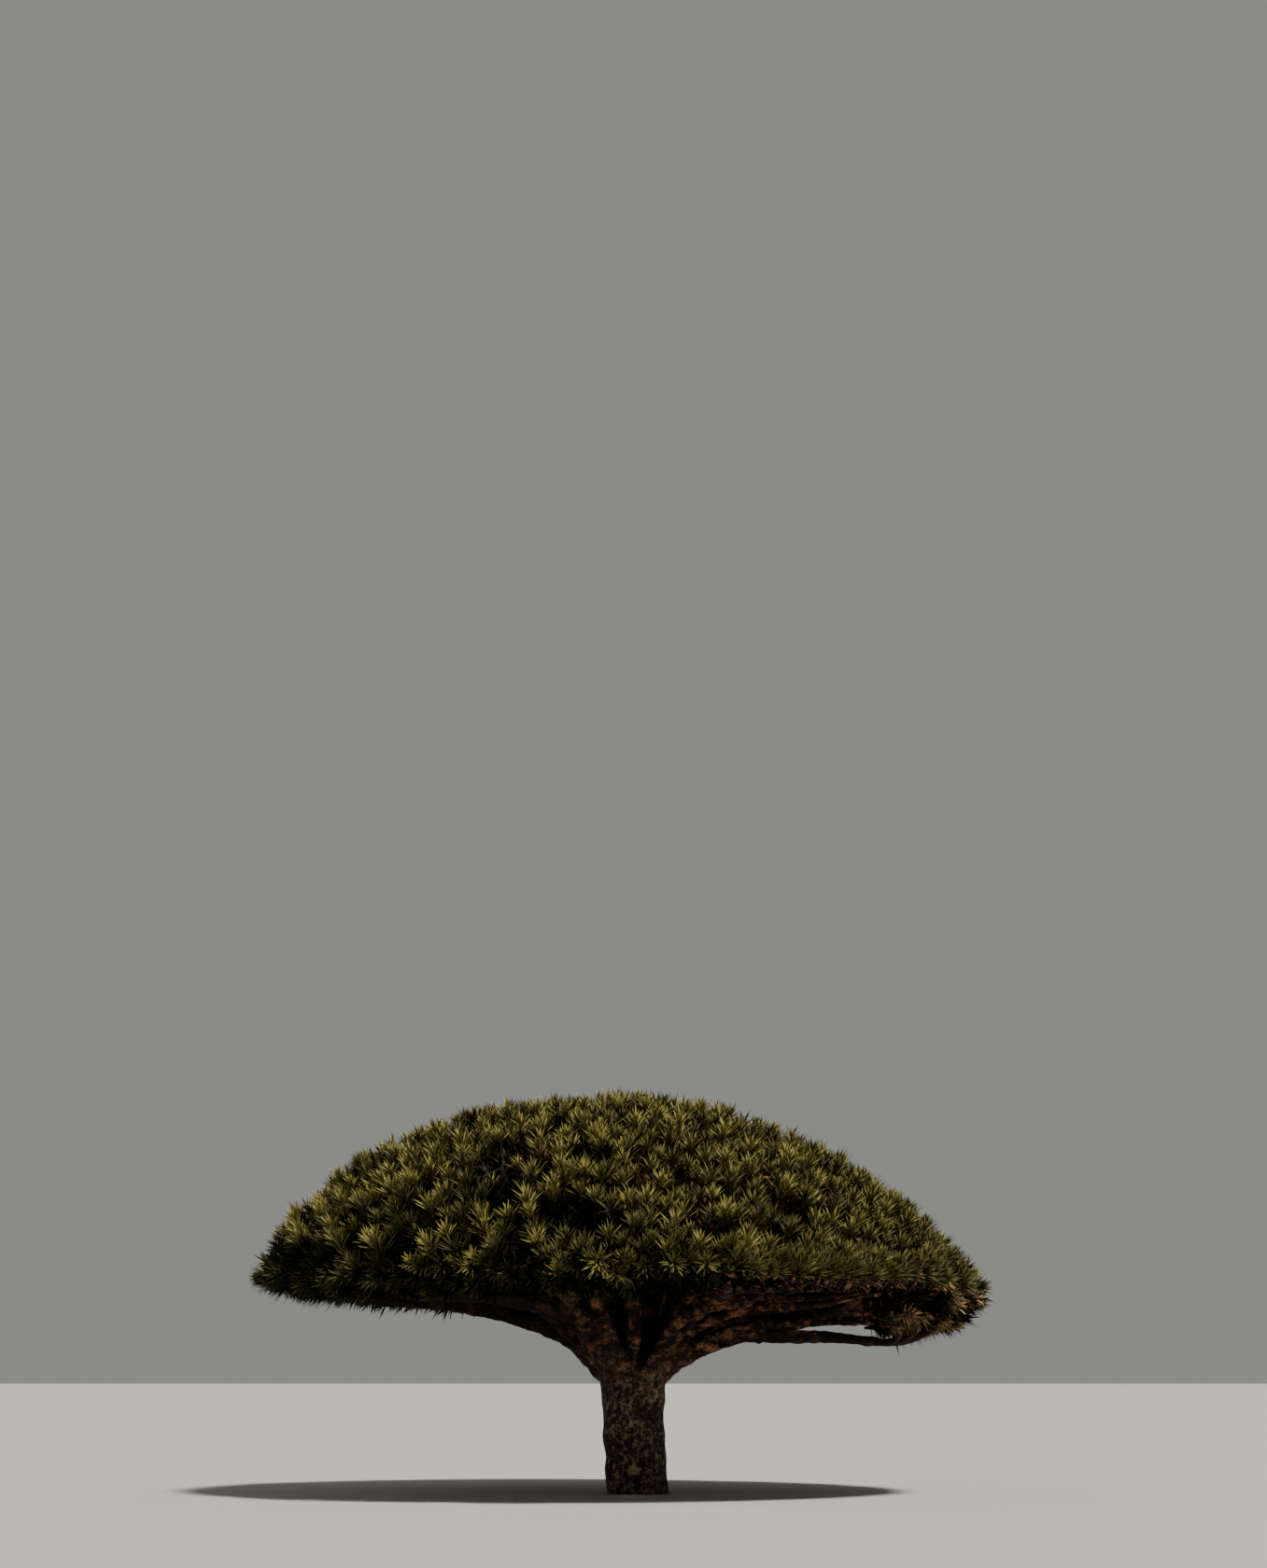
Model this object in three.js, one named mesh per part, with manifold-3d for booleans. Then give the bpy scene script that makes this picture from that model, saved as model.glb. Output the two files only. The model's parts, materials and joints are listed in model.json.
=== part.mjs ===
// Dragon blood tree: a thick bole that forks low, the boughs that spread from the fork, and the dense
// masses of sword leaves that close the crown like an umbrella. Millimetres, +Z up. The origin is on
// the ground, in the middle of the trunk's flat foot, and +Y points away from the photograph's viewer.
import * as THREE from "three";
import { mergeVertices } from "three/addons/utils/BufferGeometryUtils.js";
import Module from "manifold-3d";

const wasm = await Module();
wasm.setup();

const degree = Math.PI / 180;
const clearance = 0.3;

// The crown's outline
const crownTop = 5375;
const rimLevel = 2750;
const reachLeft = 5130;
const reachRight = 4730;
const lipDepth = 450;
const lowLobeDepth = 980;
const lowLobeAzimuth = -10 * degree;
const lobeSharpness = 6;
const lastPolar = 108 * degree;
const lowLobePolar = 15 * degree;
const shoulderPower = { middle: 1.85, right: -0.15 };
const domePower = { middle: 0.625, right: 0.125 };
const lipInsetShare = 0.6;
const thinnestLip = 60;
const swellSize = 55;

// The trunk
const trunkRadius = 398;
const rootFlare = 42;
const flareHeight = 170;
const flareLobes = { count: 5, depth: 0.5 };
const broadFlutes = { count: 3, size: 9 };
const fineFlutes = { count: 7, size: 7 };
const collarFlare = 70;
const collarStart = 1000;
const collarLevel = 1420;
const trunkTop = 1760;
const trunkTopRadius = 250;
const trunkLean = -62;
const trunkSides = 18;
const trunkRings = [0, 90, 230, 520, 900, 1180, 1380, 1560, trunkTop];

// The limbs
const forkLevel = 1200;
const boughTipReach = 3300;
const boughRootRadius = 185;
const boughTipRadius = 66;
const boughBend = 900;
const boughStubStart = 0.03;
const boughStubEnd = 0.29;
const risingStubStart = 0.05;
const limbTaper = 1.25;
const forkShare = 0.5;
const forkSwing = 18 * degree;
const swingLead = 0.8;
const armRadius = 112;
const armReach = 3270;
const armRise = 60;
const armBow = 60;
const armLift = 45;
const ribRadius = 78;
const ribTipRadius = 42;
const ribShare = 0.58;
const ribArmShare = 0.32;
const ribTurn = 18 * degree;
const ribTipPolar = 52 * degree;
const ribTipInset = 790;
const ribBow = 110;
const ribSag = 90;
const limbSides = 7;
const limbSteps = 5;
const stubSteps = 3;

// The twigs, the leaves and the dense middle of a mass
const tuftCount = 80;
const tuftSeed = 100;
const tuftJitter = 0.08;
const bladesPerTuft = 4;
const tuftInset = 545;
const tuftPull = 0.86;
const leaderSpace = 520;
const bladeLength = 660;
const bladeSunk = 80;
const bladeWidth = 130;
const bladeThickness = 22;
const bladeWidest = 0.5;
const bladeTilt = 36 * degree;
const tiltVariation = 0.15;
const leanShare = 0.9;
const mostLean = 85 * degree;
const coreOuterInset = 370;
const coreInnerInset = 700;
const coreSag = 200;
const coreSpread = 44 * degree;
const lowCoreSpread = 24 * degree;
const corePolarSpare = 4 * degree;
const coreSteps = 5;
const coreMargin = 18;
const coreGap = 20;
const stemLength = 190;
const twigTipRadius = 30;
const twigThinning = 0.4;
const newTwigSetBack = 0.5;
const newTwigRadius = 0.6;
const twigFootShare = 0.4;
const limbSpace = 25;
const cellMargin = 12;

// Azimuths run anticlockwise from +X, seen from above. A bough swings one way past its fork, and the
// fork's second arm stands at its own turn from the bough's heading.
const lowBoughs = [
  { name: "right_back", azimuth: 22, tipLevel: 2430 },
  { name: "back", azimuth: 95, tipLevel: 2680 },
  { name: "left", azimuth: 167, tipLevel: 2500 },
  { name: "front_left", azimuth: 238, tipLevel: 2560 },
  { name: "front_right", azimuth: 309, tipLevel: 2700 },
  { name: "right_low", azimuth: 346, tipLevel: 2500, swing: 0, armTurn: 8, droop: 450, slender: 0.8 },
];
const risingRings = [
  {
    ring: "mid",
    azimuths: [57, 131, 202, 273, 338],
    polar: 34 * degree,
    tipReach: 1780,
    tipLevel: 3650,
    rootRadius: 150,
    bow: 0.56,
    stubEnd: 0.44,
  },
  {
    ring: "top",
    azimuths: [35, 155, 275],
    polar: 10 * degree,
    tipReach: 520,
    tipLevel: 3900,
    rootRadius: 165,
    bow: 0.75,
    stubEnd: 0.36,
  },
];
const rimCount = 10;
const rimFirstAzimuth = 4;
const rimPolar = 74 * degree;
const rimLeaderPolar = 88 * degree;
const lowLobeCentrePolar = 102 * degree;

const bark = new THREE.MeshStandardMaterial({ color: 0x4d3b2e, roughness: 0.95, metalness: 0 });
const foliage = new THREE.MeshStandardMaterial({ color: 0x59602a, roughness: 0.6, metalness: 0 });

// The same numbers in the same order each time
function seeded(seed) {
  let state = seed;
  return () => {
    state = (state + 0x6d2b79f5) | 0;
    let mixed = Math.imul(state ^ (state >>> 15), 1 | state);
    mixed = (mixed + Math.imul(mixed ^ (mixed >>> 7), 61 | mixed)) ^ mixed;
    return ((mixed ^ (mixed >>> 14)) >>> 0) / 4294967296;
  };
}

function smooth(value) {
  const t = THREE.MathUtils.clamp(value, 0, 1);
  return t * t * (3 - 2 * t);
}

function level(azimuth) {
  return new THREE.Vector3(Math.cos(azimuth), Math.sin(azimuth), 0);
}

// Solids from closed geometries, with their faces turned outwards
function solidOf(positions, index) {
  return new wasm.Manifold(
    new wasm.Mesh({ numProp: 3, vertProperties: positions, triVerts: new Uint32Array(index) }),
  );
}

function toSolid(geometry) {
  const bare = geometry.clone();
  bare.deleteAttribute("normal");
  bare.deleteAttribute("uv");
  const merged = mergeVertices(bare, 1e-3);
  const positions = merged.getAttribute("position").array;
  const index = Array.from(merged.index.array);
  const solid = solidOf(positions, index);
  return solid.volume() < 0 ? solidOf(positions, index.reverse()) : solid;
}

function toGeometry(solid) {
  const { vertProperties, triVerts } = solid.getMesh();
  const geometry = new THREE.BufferGeometry();
  geometry.setAttribute("position", new THREE.BufferAttribute(new Float32Array(vertProperties), 3));
  geometry.setIndex(new THREE.BufferAttribute(new Uint32Array(triVerts), 1));
  return geometry;
}

function joined(solids) {
  return solids.reduce((whole, solid) => whole.add(solid));
}

// The largest body of a solid, without the scraps that a cut leaves
function largest(solid) {
  return solid.decompose().reduce((best, body) => (body.volume() > best.volume() ? body : best));
}

// One body that is still one once its vertices are rounded and merged
function oneBody(solid) {
  return largest(toSolid(toGeometry(largest(solid))));
}

function toMesh(name, solid, material) {
  const geometry = toGeometry(oneBody(solid));
  geometry.computeVertexNormals();
  const mesh = new THREE.Mesh(geometry, material);
  mesh.name = name;
  return mesh;
}

// A point of the crown's outline, or of the same shape drawn in by the inset. Polar runs from 0 at the
// top, through 90 degrees at the widest line, to the lip that hangs below it.
function lowLobe(azimuth) {
  return Math.max(0, Math.cos(azimuth - lowLobeAzimuth)) ** lobeSharpness;
}

function polarLimit(azimuth) {
  return lastPolar + lowLobePolar * lowLobe(azimuth);
}

function crownPoint(azimuth, polar, inset) {
  const right = Math.cos(azimuth);
  const swell = swellSize * Math.sin(3 * azimuth + 4 * polar + 1) * Math.sin(5 * azimuth + 2);
  const reach = (reachRight + reachLeft) / 2 + ((reachRight - reachLeft) / 2) * right + swell - inset;
  const share = Math.sin(polar);
  const fall = Math.max(0, 1 - share ** (shoulderPower.middle + shoulderPower.right * right));
  const dome = fall ** (domePower.middle + domePower.right * right);
  const rise = (crownTop - rimLevel - inset + swell * share) * dome;
  const hanging = lipDepth + lowLobeDepth * lowLobe(azimuth) - lipInsetShare * inset;
  const depth = Math.max(hanging, thinnestLip);
  const point = level(azimuth).multiplyScalar(reach * share);
  point.z = rimLevel + (polar < Math.PI / 2 ? rise : depth * Math.cos(polar));
  return point;
}

// The way a tuft of leaves points: up at the top of the crown and outwards at its rim
function tuftAxis(azimuth, polar) {
  const lean = Math.min(polar * leanShare, mostLean);
  const axis = level(azimuth).multiplyScalar(Math.sin(lean));
  axis.z = Math.cos(lean);
  return axis;
}

// Tufts spread evenly over the crown: equal areas from the top down, and the golden angle round it
function spreadTufts(count) {
  const random = seeded(tuftSeed);
  const steps = 60;
  const areas = [0];
  for (let i = 1; i <= steps; i++) {
    const upper = crownPoint(Math.PI / 2, (lastPolar * (i - 1)) / steps, tuftInset);
    const lower = crownPoint(Math.PI / 2, (lastPolar * i) / steps, tuftInset);
    areas.push(areas[i - 1] + upper.distanceTo(lower) * (upper.y + lower.y));
  }
  const golden = Math.PI * (3 - Math.sqrt(5));
  const spread = [];
  for (let k = 0; k < count; k++) {
    const area = ((k + 0.5) / count) * areas[steps];
    const i = areas.findIndex((a) => a >= area);
    const between = (area - areas[i - 1]) / (areas[i] - areas[i - 1]);
    const azimuth = k * golden + (random() - 0.5) * tuftJitter;
    const evenPolar = (lastPolar * (i - 1 + between)) / steps;
    const below = Math.max(0, evenPolar - Math.PI / 2) / (lastPolar - Math.PI / 2);
    const polar = evenPolar + below * (polarLimit(azimuth) - lastPolar);
    spread.push({ azimuth, polar, place: crownPoint(azimuth, polar, tuftInset) });
  }
  return spread;
}

// The line of a bough from the trunk's axis outwards: steep at the fork, nearly level at its tip
class BoughLine extends THREE.Curve {
  constructor(azimuth, tipLevel, swing, droop) {
    super();
    Object.assign(this, { azimuth, tipLevel, swing, droop });
  }

  getPoint(t, target = new THREE.Vector3()) {
    const reach = boughTipReach * t;
    const fullRise = 1 - Math.exp(-boughTipReach / boughBend);
    const rise = (1 - Math.exp(-reach / boughBend)) / fullRise;
    const pastFork = (t / forkShare - swingLead) / (1 / forkShare - swingLead);
    const turn = this.azimuth + this.swing * smooth(pastFork);
    return target.set(
      trunkLean * (1 - t) + reach * Math.cos(turn),
      reach * Math.sin(turn),
      forkLevel + (this.tipLevel - forkLevel) * rise - this.droop * t,
    );
  }
}

// A tapering limb: the rings of a cylinder moved onto a line. Its ends are flat and square to the line.
function limbPart(limb, from, to, steps = limbSteps, extra = 0) {
  const geometry = new THREE.CylinderGeometry(1, 1, 1, limbSides, steps);
  const position = geometry.getAttribute("position");
  const vertex = new THREE.Vector3();
  for (let i = 0; i < position.count; i++) {
    vertex.fromBufferAttribute(position, i);
    const t = from + (to - from) * (vertex.y + 0.5);
    const along = limb.line.getTangent(Math.min(t, 1));
    const across = limb.plane.clone().addScaledVector(along, -limb.plane.dot(along)).normalize();
    const third = across.clone().cross(along);
    const radius = limb.radius(t) + extra;
    const moved = limb.line.getPoint(t);
    moved.addScaledVector(across, vertex.x * radius).addScaledVector(third, vertex.z * radius);
    position.setXYZ(i, moved.x, moved.y, moved.z);
  }
  return toSolid(geometry);
}

function makeLimb(name, line, azimuth, rootRadius, tipRadius, more) {
  const radius = (t) => tipRadius + (rootRadius - tipRadius) * Math.max(0, 1 - t) ** limbTaper;
  return { name, line, radius, plane: level(azimuth + Math.PI / 2), from: 0, ...more };
}

// A flat-footed bole with its lean, its root flare, its flutes and the collar that carries the boughs
function trunkBole() {
  const geometry = new THREE.CylinderGeometry(1, 1, 1, trunkSides, trunkRings.length - 1);
  const position = geometry.getAttribute("position");
  const vertex = new THREE.Vector3();
  for (let i = 0; i < position.count; i++) {
    vertex.fromBufferAttribute(position, i);
    const height = trunkRings[Math.round((vertex.y + 0.5) * (trunkRings.length - 1))];
    const round = Math.atan2(vertex.x, vertex.z);
    const lobes = 1 + flareLobes.depth * Math.cos(flareLobes.count * round);
    const flare = rootFlare * Math.exp(-height / flareHeight) * lobes;
    const collar = collarFlare * smooth((height - collarStart) / (collarLevel - collarStart));
    const closing = smooth((height - collarLevel) / (trunkTop - collarLevel));
    const crest = (trunkRadius + collarFlare - trunkTopRadius) * closing;
    const broad = broadFlutes.size * Math.cos(broadFlutes.count * round + 1);
    const fine = fineFlutes.size * Math.cos(fineFlutes.count * round);
    const full = trunkRadius + flare + collar - crest + broad + fine;
    const radius = Math.hypot(vertex.x, vertex.z) * full;
    const axis = trunkLean * smooth(height / collarLevel);
    position.setXYZ(i, axis + radius * Math.sin(round), -radius * Math.cos(round), height);
  }
  return toSolid(geometry);
}

// A twig of three sides through a row of points, each with its own radius
function twig(points) {
  const last = points.length - 1;
  const geometry = new THREE.CylinderGeometry(1, 1, 1, 3, last);
  const position = geometry.getAttribute("position");
  const whole = points[last].place.clone().sub(points[0].place);
  const sideways = new THREE.Vector3(whole.y, -whole.x, 0).normalize();
  for (let i = 0; i < position.count; i++) {
    const ring = Math.round((position.getY(i) + 0.5) * last);
    const { place, radius } = points[ring];
    const along = points[Math.min(ring + 1, last)].place.clone().sub(points[Math.max(ring - 1, 0)].place);
    along.normalize();
    const across = sideways.clone().addScaledVector(along, -sideways.dot(along)).normalize();
    const moved = place.clone().addScaledVector(across, position.getX(i) * radius);
    moved.addScaledVector(across.cross(along), position.getZ(i) * radius);
    position.setXYZ(i, moved.x, moved.y, moved.z);
  }
  return toSolid(geometry);
}

// A leaf blade: an octahedron drawn out to a root and a tip, wide one way and thin the other
function bladeCorners(root, direction, across) {
  const widest = root.clone().addScaledVector(direction, bladeLength * bladeWidest);
  const flat = across.clone().cross(direction).normalize();
  return {
    tip: root.clone().addScaledVector(direction, bladeLength),
    root,
    right: widest.clone().addScaledVector(across, bladeWidth / 2),
    left: widest.clone().addScaledVector(across, -bladeWidth / 2),
    front: widest.clone().addScaledVector(flat, bladeThickness / 2),
    back: widest.clone().addScaledVector(flat, -bladeThickness / 2),
  };
}

function blade(corners) {
  const geometry = new THREE.OctahedronGeometry(1);
  const position = geometry.getAttribute("position");
  const ends = [["right", "left"], ["tip", "root"], ["front", "back"]];
  for (let i = 0; i < position.count; i++) {
    const sizes = [position.getX(i), position.getY(i), position.getZ(i)];
    const axis = sizes.findIndex((size) => Math.abs(size) > 0.5);
    const corner = corners[ends[axis][sizes[axis] > 0 ? 0 : 1]];
    position.setXYZ(i, corner.x, corner.y, corner.z);
  }
  return toSolid(geometry);
}

// The low boughs with the arms of their forks, and the boughs that rise to the middle and the top
const limbs = [];
const trunkStubs = [];

// The trunk keeps a bough's first stretch, and the bough goes on from its flat end.
function leaveTrunk(limb, stubStart, stubEnd) {
  trunkStubs.push(limbPart(limb, stubStart, stubEnd, stubSteps));
  limb.from = stubEnd + clearance / limb.line.getLength();
  limbs.push(limb);
}

for (const { name, azimuth, tipLevel, swing, armTurn, droop = 0, slender = 1 } of lowBoughs) {
  const heading = azimuth * degree;
  const turn = swing === undefined ? -forkSwing : swing * degree;
  const line = new BoughLine(heading, tipLevel, turn, droop);
  const bough = makeLimb("bough_" + name, line, heading, boughRootRadius * slender, boughTipRadius);
  leaveTrunk(bough, boughStubStart, boughStubEnd);
  const armHeading = heading + (armTurn === undefined ? forkSwing : armTurn * degree);
  limbs.push(forkArm(name, armHeading, tipLevel, bough));
}

for (const shape of risingRings) {
  shape.azimuths.forEach((azimuth, k) => {
    const bough = risingBough(shape, azimuth * degree, shape.ring + "_" + (k + 1));
    leaveTrunk(bough, risingStubStart, shape.stubEnd);
  });
}

// The second arm of a fork, which leaves its bough at the side and reaches the rim beside it
function forkArm(name, heading, tipLevel, parent) {
  const start = parent.line.getPoint(forkShare);
  const tip = level(heading).multiplyScalar(armReach);
  tip.z = tipLevel + armRise;
  const bend = start.clone().lerp(tip, 0.5);
  bend.addScaledVector(level(heading + Math.PI / 2), armBow);
  bend.z += armLift;
  const line = new THREE.QuadraticBezierCurve3(start, bend, tip);
  return makeLimb("limb_" + name, line, heading, armRadius, boughTipRadius, { parent });
}

// A bough that rises from the fork in an outward bow, to one mass of its ring
function risingBough({ tipReach, tipLevel, rootRadius, bow, polar }, heading, place) {
  const foot = new THREE.Vector3(trunkLean, 0, forkLevel);
  const bend = foot.clone().addScaledVector(level(heading), tipReach * bow);
  bend.z = (forkLevel + tipLevel) / 2;
  const tip = foot.clone().addScaledVector(level(heading), tipReach);
  tip.z = tipLevel;
  const line = new THREE.QuadraticBezierCurve3(foot, bend, tip);
  const feeds = { place, azimuth: heading, polar };
  return makeLimb("bough_" + place, line, heading, rootRadius, boughTipRadius, { feeds });
}

// The ribs: one from each limb that reaches the rim, up to where four masses meet
function rib(parent, number) {
  const tipOfParent = parent.line.getPoint(1);
  const heading = Math.atan2(tipOfParent.y, tipOfParent.x) + ribTurn;
  const start = parent.line.getPoint(parent.parent ? ribArmShare : ribShare);
  const tip = crownPoint(heading, ribTipPolar, ribTipInset);
  const bend = start.clone().lerp(tip, 0.5).addScaledVector(level(heading), ribBow);
  bend.z -= ribSag;
  const line = new THREE.QuadraticBezierCurve3(start, bend, tip);
  return makeLimb("rib_" + number, line, heading, ribRadius, ribTipRadius, { parent });
}

// A limb that springs from another is cut clear of it.
function limbSolid(limb) {
  const whole = limbPart(limb, limb.from, 1);
  if (!limb.parent) {
    return whole;
  }
  return whole.subtract(limbPart(limb.parent, limb.parent.from, 1, limbSteps, clearance));
}

// The masses, each with its middle on the crown and the limb whose tip it grows from
const masses = [];

function addMass(name, azimuth, polar, limb, { leaderPolar = polar, spread = coreSpread } = {}) {
  const middle = crownPoint(azimuth, polar, tuftInset);
  const leader = { azimuth, polar: leaderPolar, place: crownPoint(azimuth, leaderPolar, tuftInset) };
  masses.push({ name: "foliage_" + name, azimuth, polar, middle, limb, leader, spread });
}

for (const limb of limbs.filter((candidate) => candidate.feeds)) {
  addMass(limb.feeds.place, limb.feeds.azimuth, limb.feeds.polar, limb);
}
const lowestLimb = limbs.find((limb) => limb.name === "bough_right_low");
addMass("low_right", lowLobeAzimuth, lowLobeCentrePolar, lowestLimb, { spread: lowCoreSpread });
const rimLimbs = limbs.filter((limb) => !limb.feeds && limb !== lowestLimb);
rimLimbs.forEach((limb, k) => limbs.push(rib(limb, k + 1)));
for (let k = 0; k < rimCount; k++) {
  const azimuth = (rimFirstAzimuth + (k * 360) / rimCount) * degree;
  const gap = (limb) => limb.line.getPoint(1).distanceTo(crownPoint(azimuth, rimPolar, tuftInset));
  const limb = rimLimbs.reduce((best, other) => (gap(other) < gap(best) ? other : best));
  addMass("rim_" + (k + 1), azimuth, rimPolar, limb, { leaderPolar: rimLeaderPolar });
}

// A mass keeps to the points that lie nearer to its own middle than to any other's.
function insideSpace(mass, point, margin) {
  const own = point.distanceToSquared(mass.middle);
  return masses.every((other) => {
    if (other === mass) {
      return true;
    }
    const apart = other.middle.distanceTo(mass.middle);
    return (point.distanceToSquared(other.middle) - own) / (2 * apart) >= margin;
  });
}

// Balls along each limb, for keeping twigs and leaves off the bark
const ballsPerLimb = 40;
const limbBalls = limbs.flatMap((limb) =>
  Array.from({ length: ballsPerLimb + 1 }, (_, i) => {
    const t = limb.from + ((1 - limb.from) * i) / ballsPerLimb;
    return { place: limb.line.getPoint(t), radius: limb.radius(t) };
  }),
);

function touchesLimb(start, end, width) {
  const probes = 6;
  for (let i = 0; i <= probes; i++) {
    const at = start.clone().lerp(end, i / probes);
    if (limbBalls.some((ball) => at.distanceTo(ball.place) < ball.radius + width + limbSpace)) {
      return true;
    }
  }
  return false;
}

function twigRadius(tuftsFed) {
  return twigTipRadius * tuftsFed ** twigThinning;
}

// A twig runs towards the middle of the tufts that it feeds and forks across their widest spread: it
// goes on itself to one half of them and sends a new twig to the other, until each tuft is reached.
function growTwigs(mass, points, tufts, pieces) {
  const start = points[points.length - 1].place;
  const middle = new THREE.Vector3();
  tufts.forEach((tuft) => middle.addScaledVector(tuft.root, 1 / tufts.length));
  const stepsLeft = Math.ceil(Math.log2(tufts.length)) + 1;
  const end = start.clone().lerp(middle, 1 / stepsLeft);
  const radius = twigRadius(tufts.length / 2);
  const pastFoot = start.clone().lerp(end, twigFootShare);
  const blocked = touchesLimb(pastFoot, end, radius) || !insideSpace(mass, end, cellMargin);
  if (!blocked) {
    points.push({ place: end, radius });
  }
  if (blocked || tufts.length === 1) {
    if (points.length > 1) {
      pieces.push(twig(points));
    }
    if (!blocked) {
      pieces.push(...tuftBlades(mass, tufts[0]));
    }
    return;
  }
  const spread = (tuft) => tuft.root.distanceTo(middle);
  const furthest = tufts.reduce((best, tuft) => (spread(tuft) > spread(best) ? tuft : best));
  const widest = furthest.root.clone().sub(middle);
  const sorted = [...tufts].sort((a, b) => a.root.dot(widest) - b.root.dot(widest));
  const half = Math.floor(sorted.length / 2);
  const insideEnd = end.clone().lerp(start, (newTwigSetBack * radius) / start.distanceTo(end));
  const fork = { place: insideEnd, radius: newTwigRadius * radius };
  growTwigs(mass, points, sorted.slice(half), pieces);
  growTwigs(mass, [fork], sorted.slice(0, half), pieces);
}

// The leaves of one tuft: one stands along its axis and the others lean out round it.
function tuftBlades(mass, tuft) {
  const random = seeded(tuft.seed);
  const axis = tuftAxis(tuft.azimuth, tuft.polar);
  const first = level(tuft.azimuth + Math.PI / 2);
  const second = axis.clone().cross(first);
  const spin = random() * Math.PI;
  const blades = [];
  for (let k = 0; k < bladesPerTuft; k++) {
    const turn = spin + (k * 2 * Math.PI) / (bladesPerTuft - 1);
    const out = first.clone().multiplyScalar(Math.cos(turn)).addScaledVector(second, Math.sin(turn));
    const tilt = k > 0 ? bladeTilt * (1 + tiltVariation * (2 * random() - 1)) : 0;
    const direction = axis.clone().multiplyScalar(Math.cos(tilt)).addScaledVector(out, Math.sin(tilt));
    const across = out.clone().cross(axis).normalize();
    const root = tuft.root.clone().addScaledVector(direction, -bladeSunk);
    const corners = bladeCorners(root, direction, across);
    const inside = Object.values(corners).every((corner) => insideSpace(mass, corner, cellMargin));
    if (inside && !touchesLimb(tuft.root, corners.tip, bladeWidth / 4)) {
      blades.push(blade(corners));
    }
  }
  return blades;
}

// The dense middle of a mass: a pillow that follows the crown under the leaves' tips, sinks a little
// towards its edges and is cut to the mass's own space
function massCore(mass) {
  const geometry = new THREE.BoxGeometry(2, 2, 2, coreSteps, coreSteps, 1);
  const position = geometry.getAttribute("position");
  const widen = mass.polar / Math.sin(mass.polar);
  const spreadDown = Math.min(mass.spread, polarLimit(mass.azimuth) + corePolarSpare - mass.polar);
  for (let i = 0; i < position.count; i++) {
    const [x, y, z] = [position.getX(i), position.getY(i), position.getZ(i)];
    const down = mass.polar + y * (y > 0 ? spreadDown : coreSpread);
    const sideways = x * mass.spread * widen;
    const inset = z > 0 ? coreOuterInset + coreSag * Math.min(x * x + y * y, 1) : coreInnerInset;
    const azimuth = mass.azimuth + Math.atan2(sideways, down);
    const polar = Math.min(Math.hypot(sideways, down), polarLimit(azimuth) + corePolarSpare);
    const place = crownPoint(azimuth, polar, inset);
    position.setXYZ(i, place.x, place.y, place.z);
  }
  let core = toSolid(geometry);
  for (const other of masses.filter((candidate) => candidate !== mass)) {
    core = core.subtract(otherSide(mass, other));
  }
  for (const limb of limbs) {
    const past = 1 + coreGap / limb.line.getLength();
    core = core.subtract(limbPart(limb, limb.from, past, limbSteps, coreGap));
  }
  return core;
}

// A block that fills the space beyond the border between a mass and another
function otherSide(mass, other) {
  const size = 2 * (reachLeft + reachRight);
  const heading = other.middle.clone().sub(mass.middle).normalize();
  const middle = other.middle.clone().lerp(mass.middle, 0.5);
  middle.addScaledVector(heading, size / 2 - coreMargin);
  const geometry = new THREE.BoxGeometry(size, size, size);
  geometry.applyQuaternion(new THREE.Quaternion().setFromUnitVectors(new THREE.Vector3(1, 0, 0), heading));
  geometry.translate(middle.x, middle.y, middle.z);
  return toSolid(geometry);
}

function massSolid(mass, tufts) {
  const heading = mass.limb.line.getTangent(1);
  const tip = mass.limb.line.getPoint(1);
  const foot = tip.clone().addScaledVector(heading, clearance);
  const knot = tip.clone().addScaledVector(heading, stemLength);
  const pieces = [massCore(mass)];
  growTwigs(mass, [foot, knot].map((place) => ({ place, radius: boughTipRadius })), tufts, pieces);
  return joined(pieces);
}

const leaders = masses.map((mass) => mass.leader);
const others = spreadTufts(tuftCount).filter((tuft) =>
  leaders.every((leader) => leader.place.distanceTo(tuft.place) > leaderSpace),
);
const tufts = [...leaders, ...others];
tufts.forEach((tuft, k) => {
  const gap = (mass) => mass.middle.distanceTo(tuft.place);
  tuft.seed = tuftSeed + k;
  tuft.mass = masses.reduce((best, mass) => (gap(mass) < gap(best) ? mass : best));
  tuft.root = tuft.place.clone().lerp(tuft.mass.middle, 1 - tuftPull);
});

const tree = new THREE.Group();
tree.add(toMesh("trunk", joined([trunkBole(), ...trunkStubs]), bark));
for (const limb of limbs) {
  tree.add(toMesh(limb.name, limbSolid(limb), bark));
}
for (const mass of masses) {
  const own = tufts.filter((tuft) => tuft.mass === mass);
  tree.add(toMesh(mass.name, massSolid(mass, own), foliage));
}

export default tree;
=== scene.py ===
"""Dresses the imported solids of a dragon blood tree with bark, branches and sword leaves."""

import json
import math

import bpy
import numpy as np
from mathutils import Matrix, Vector, noise

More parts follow.
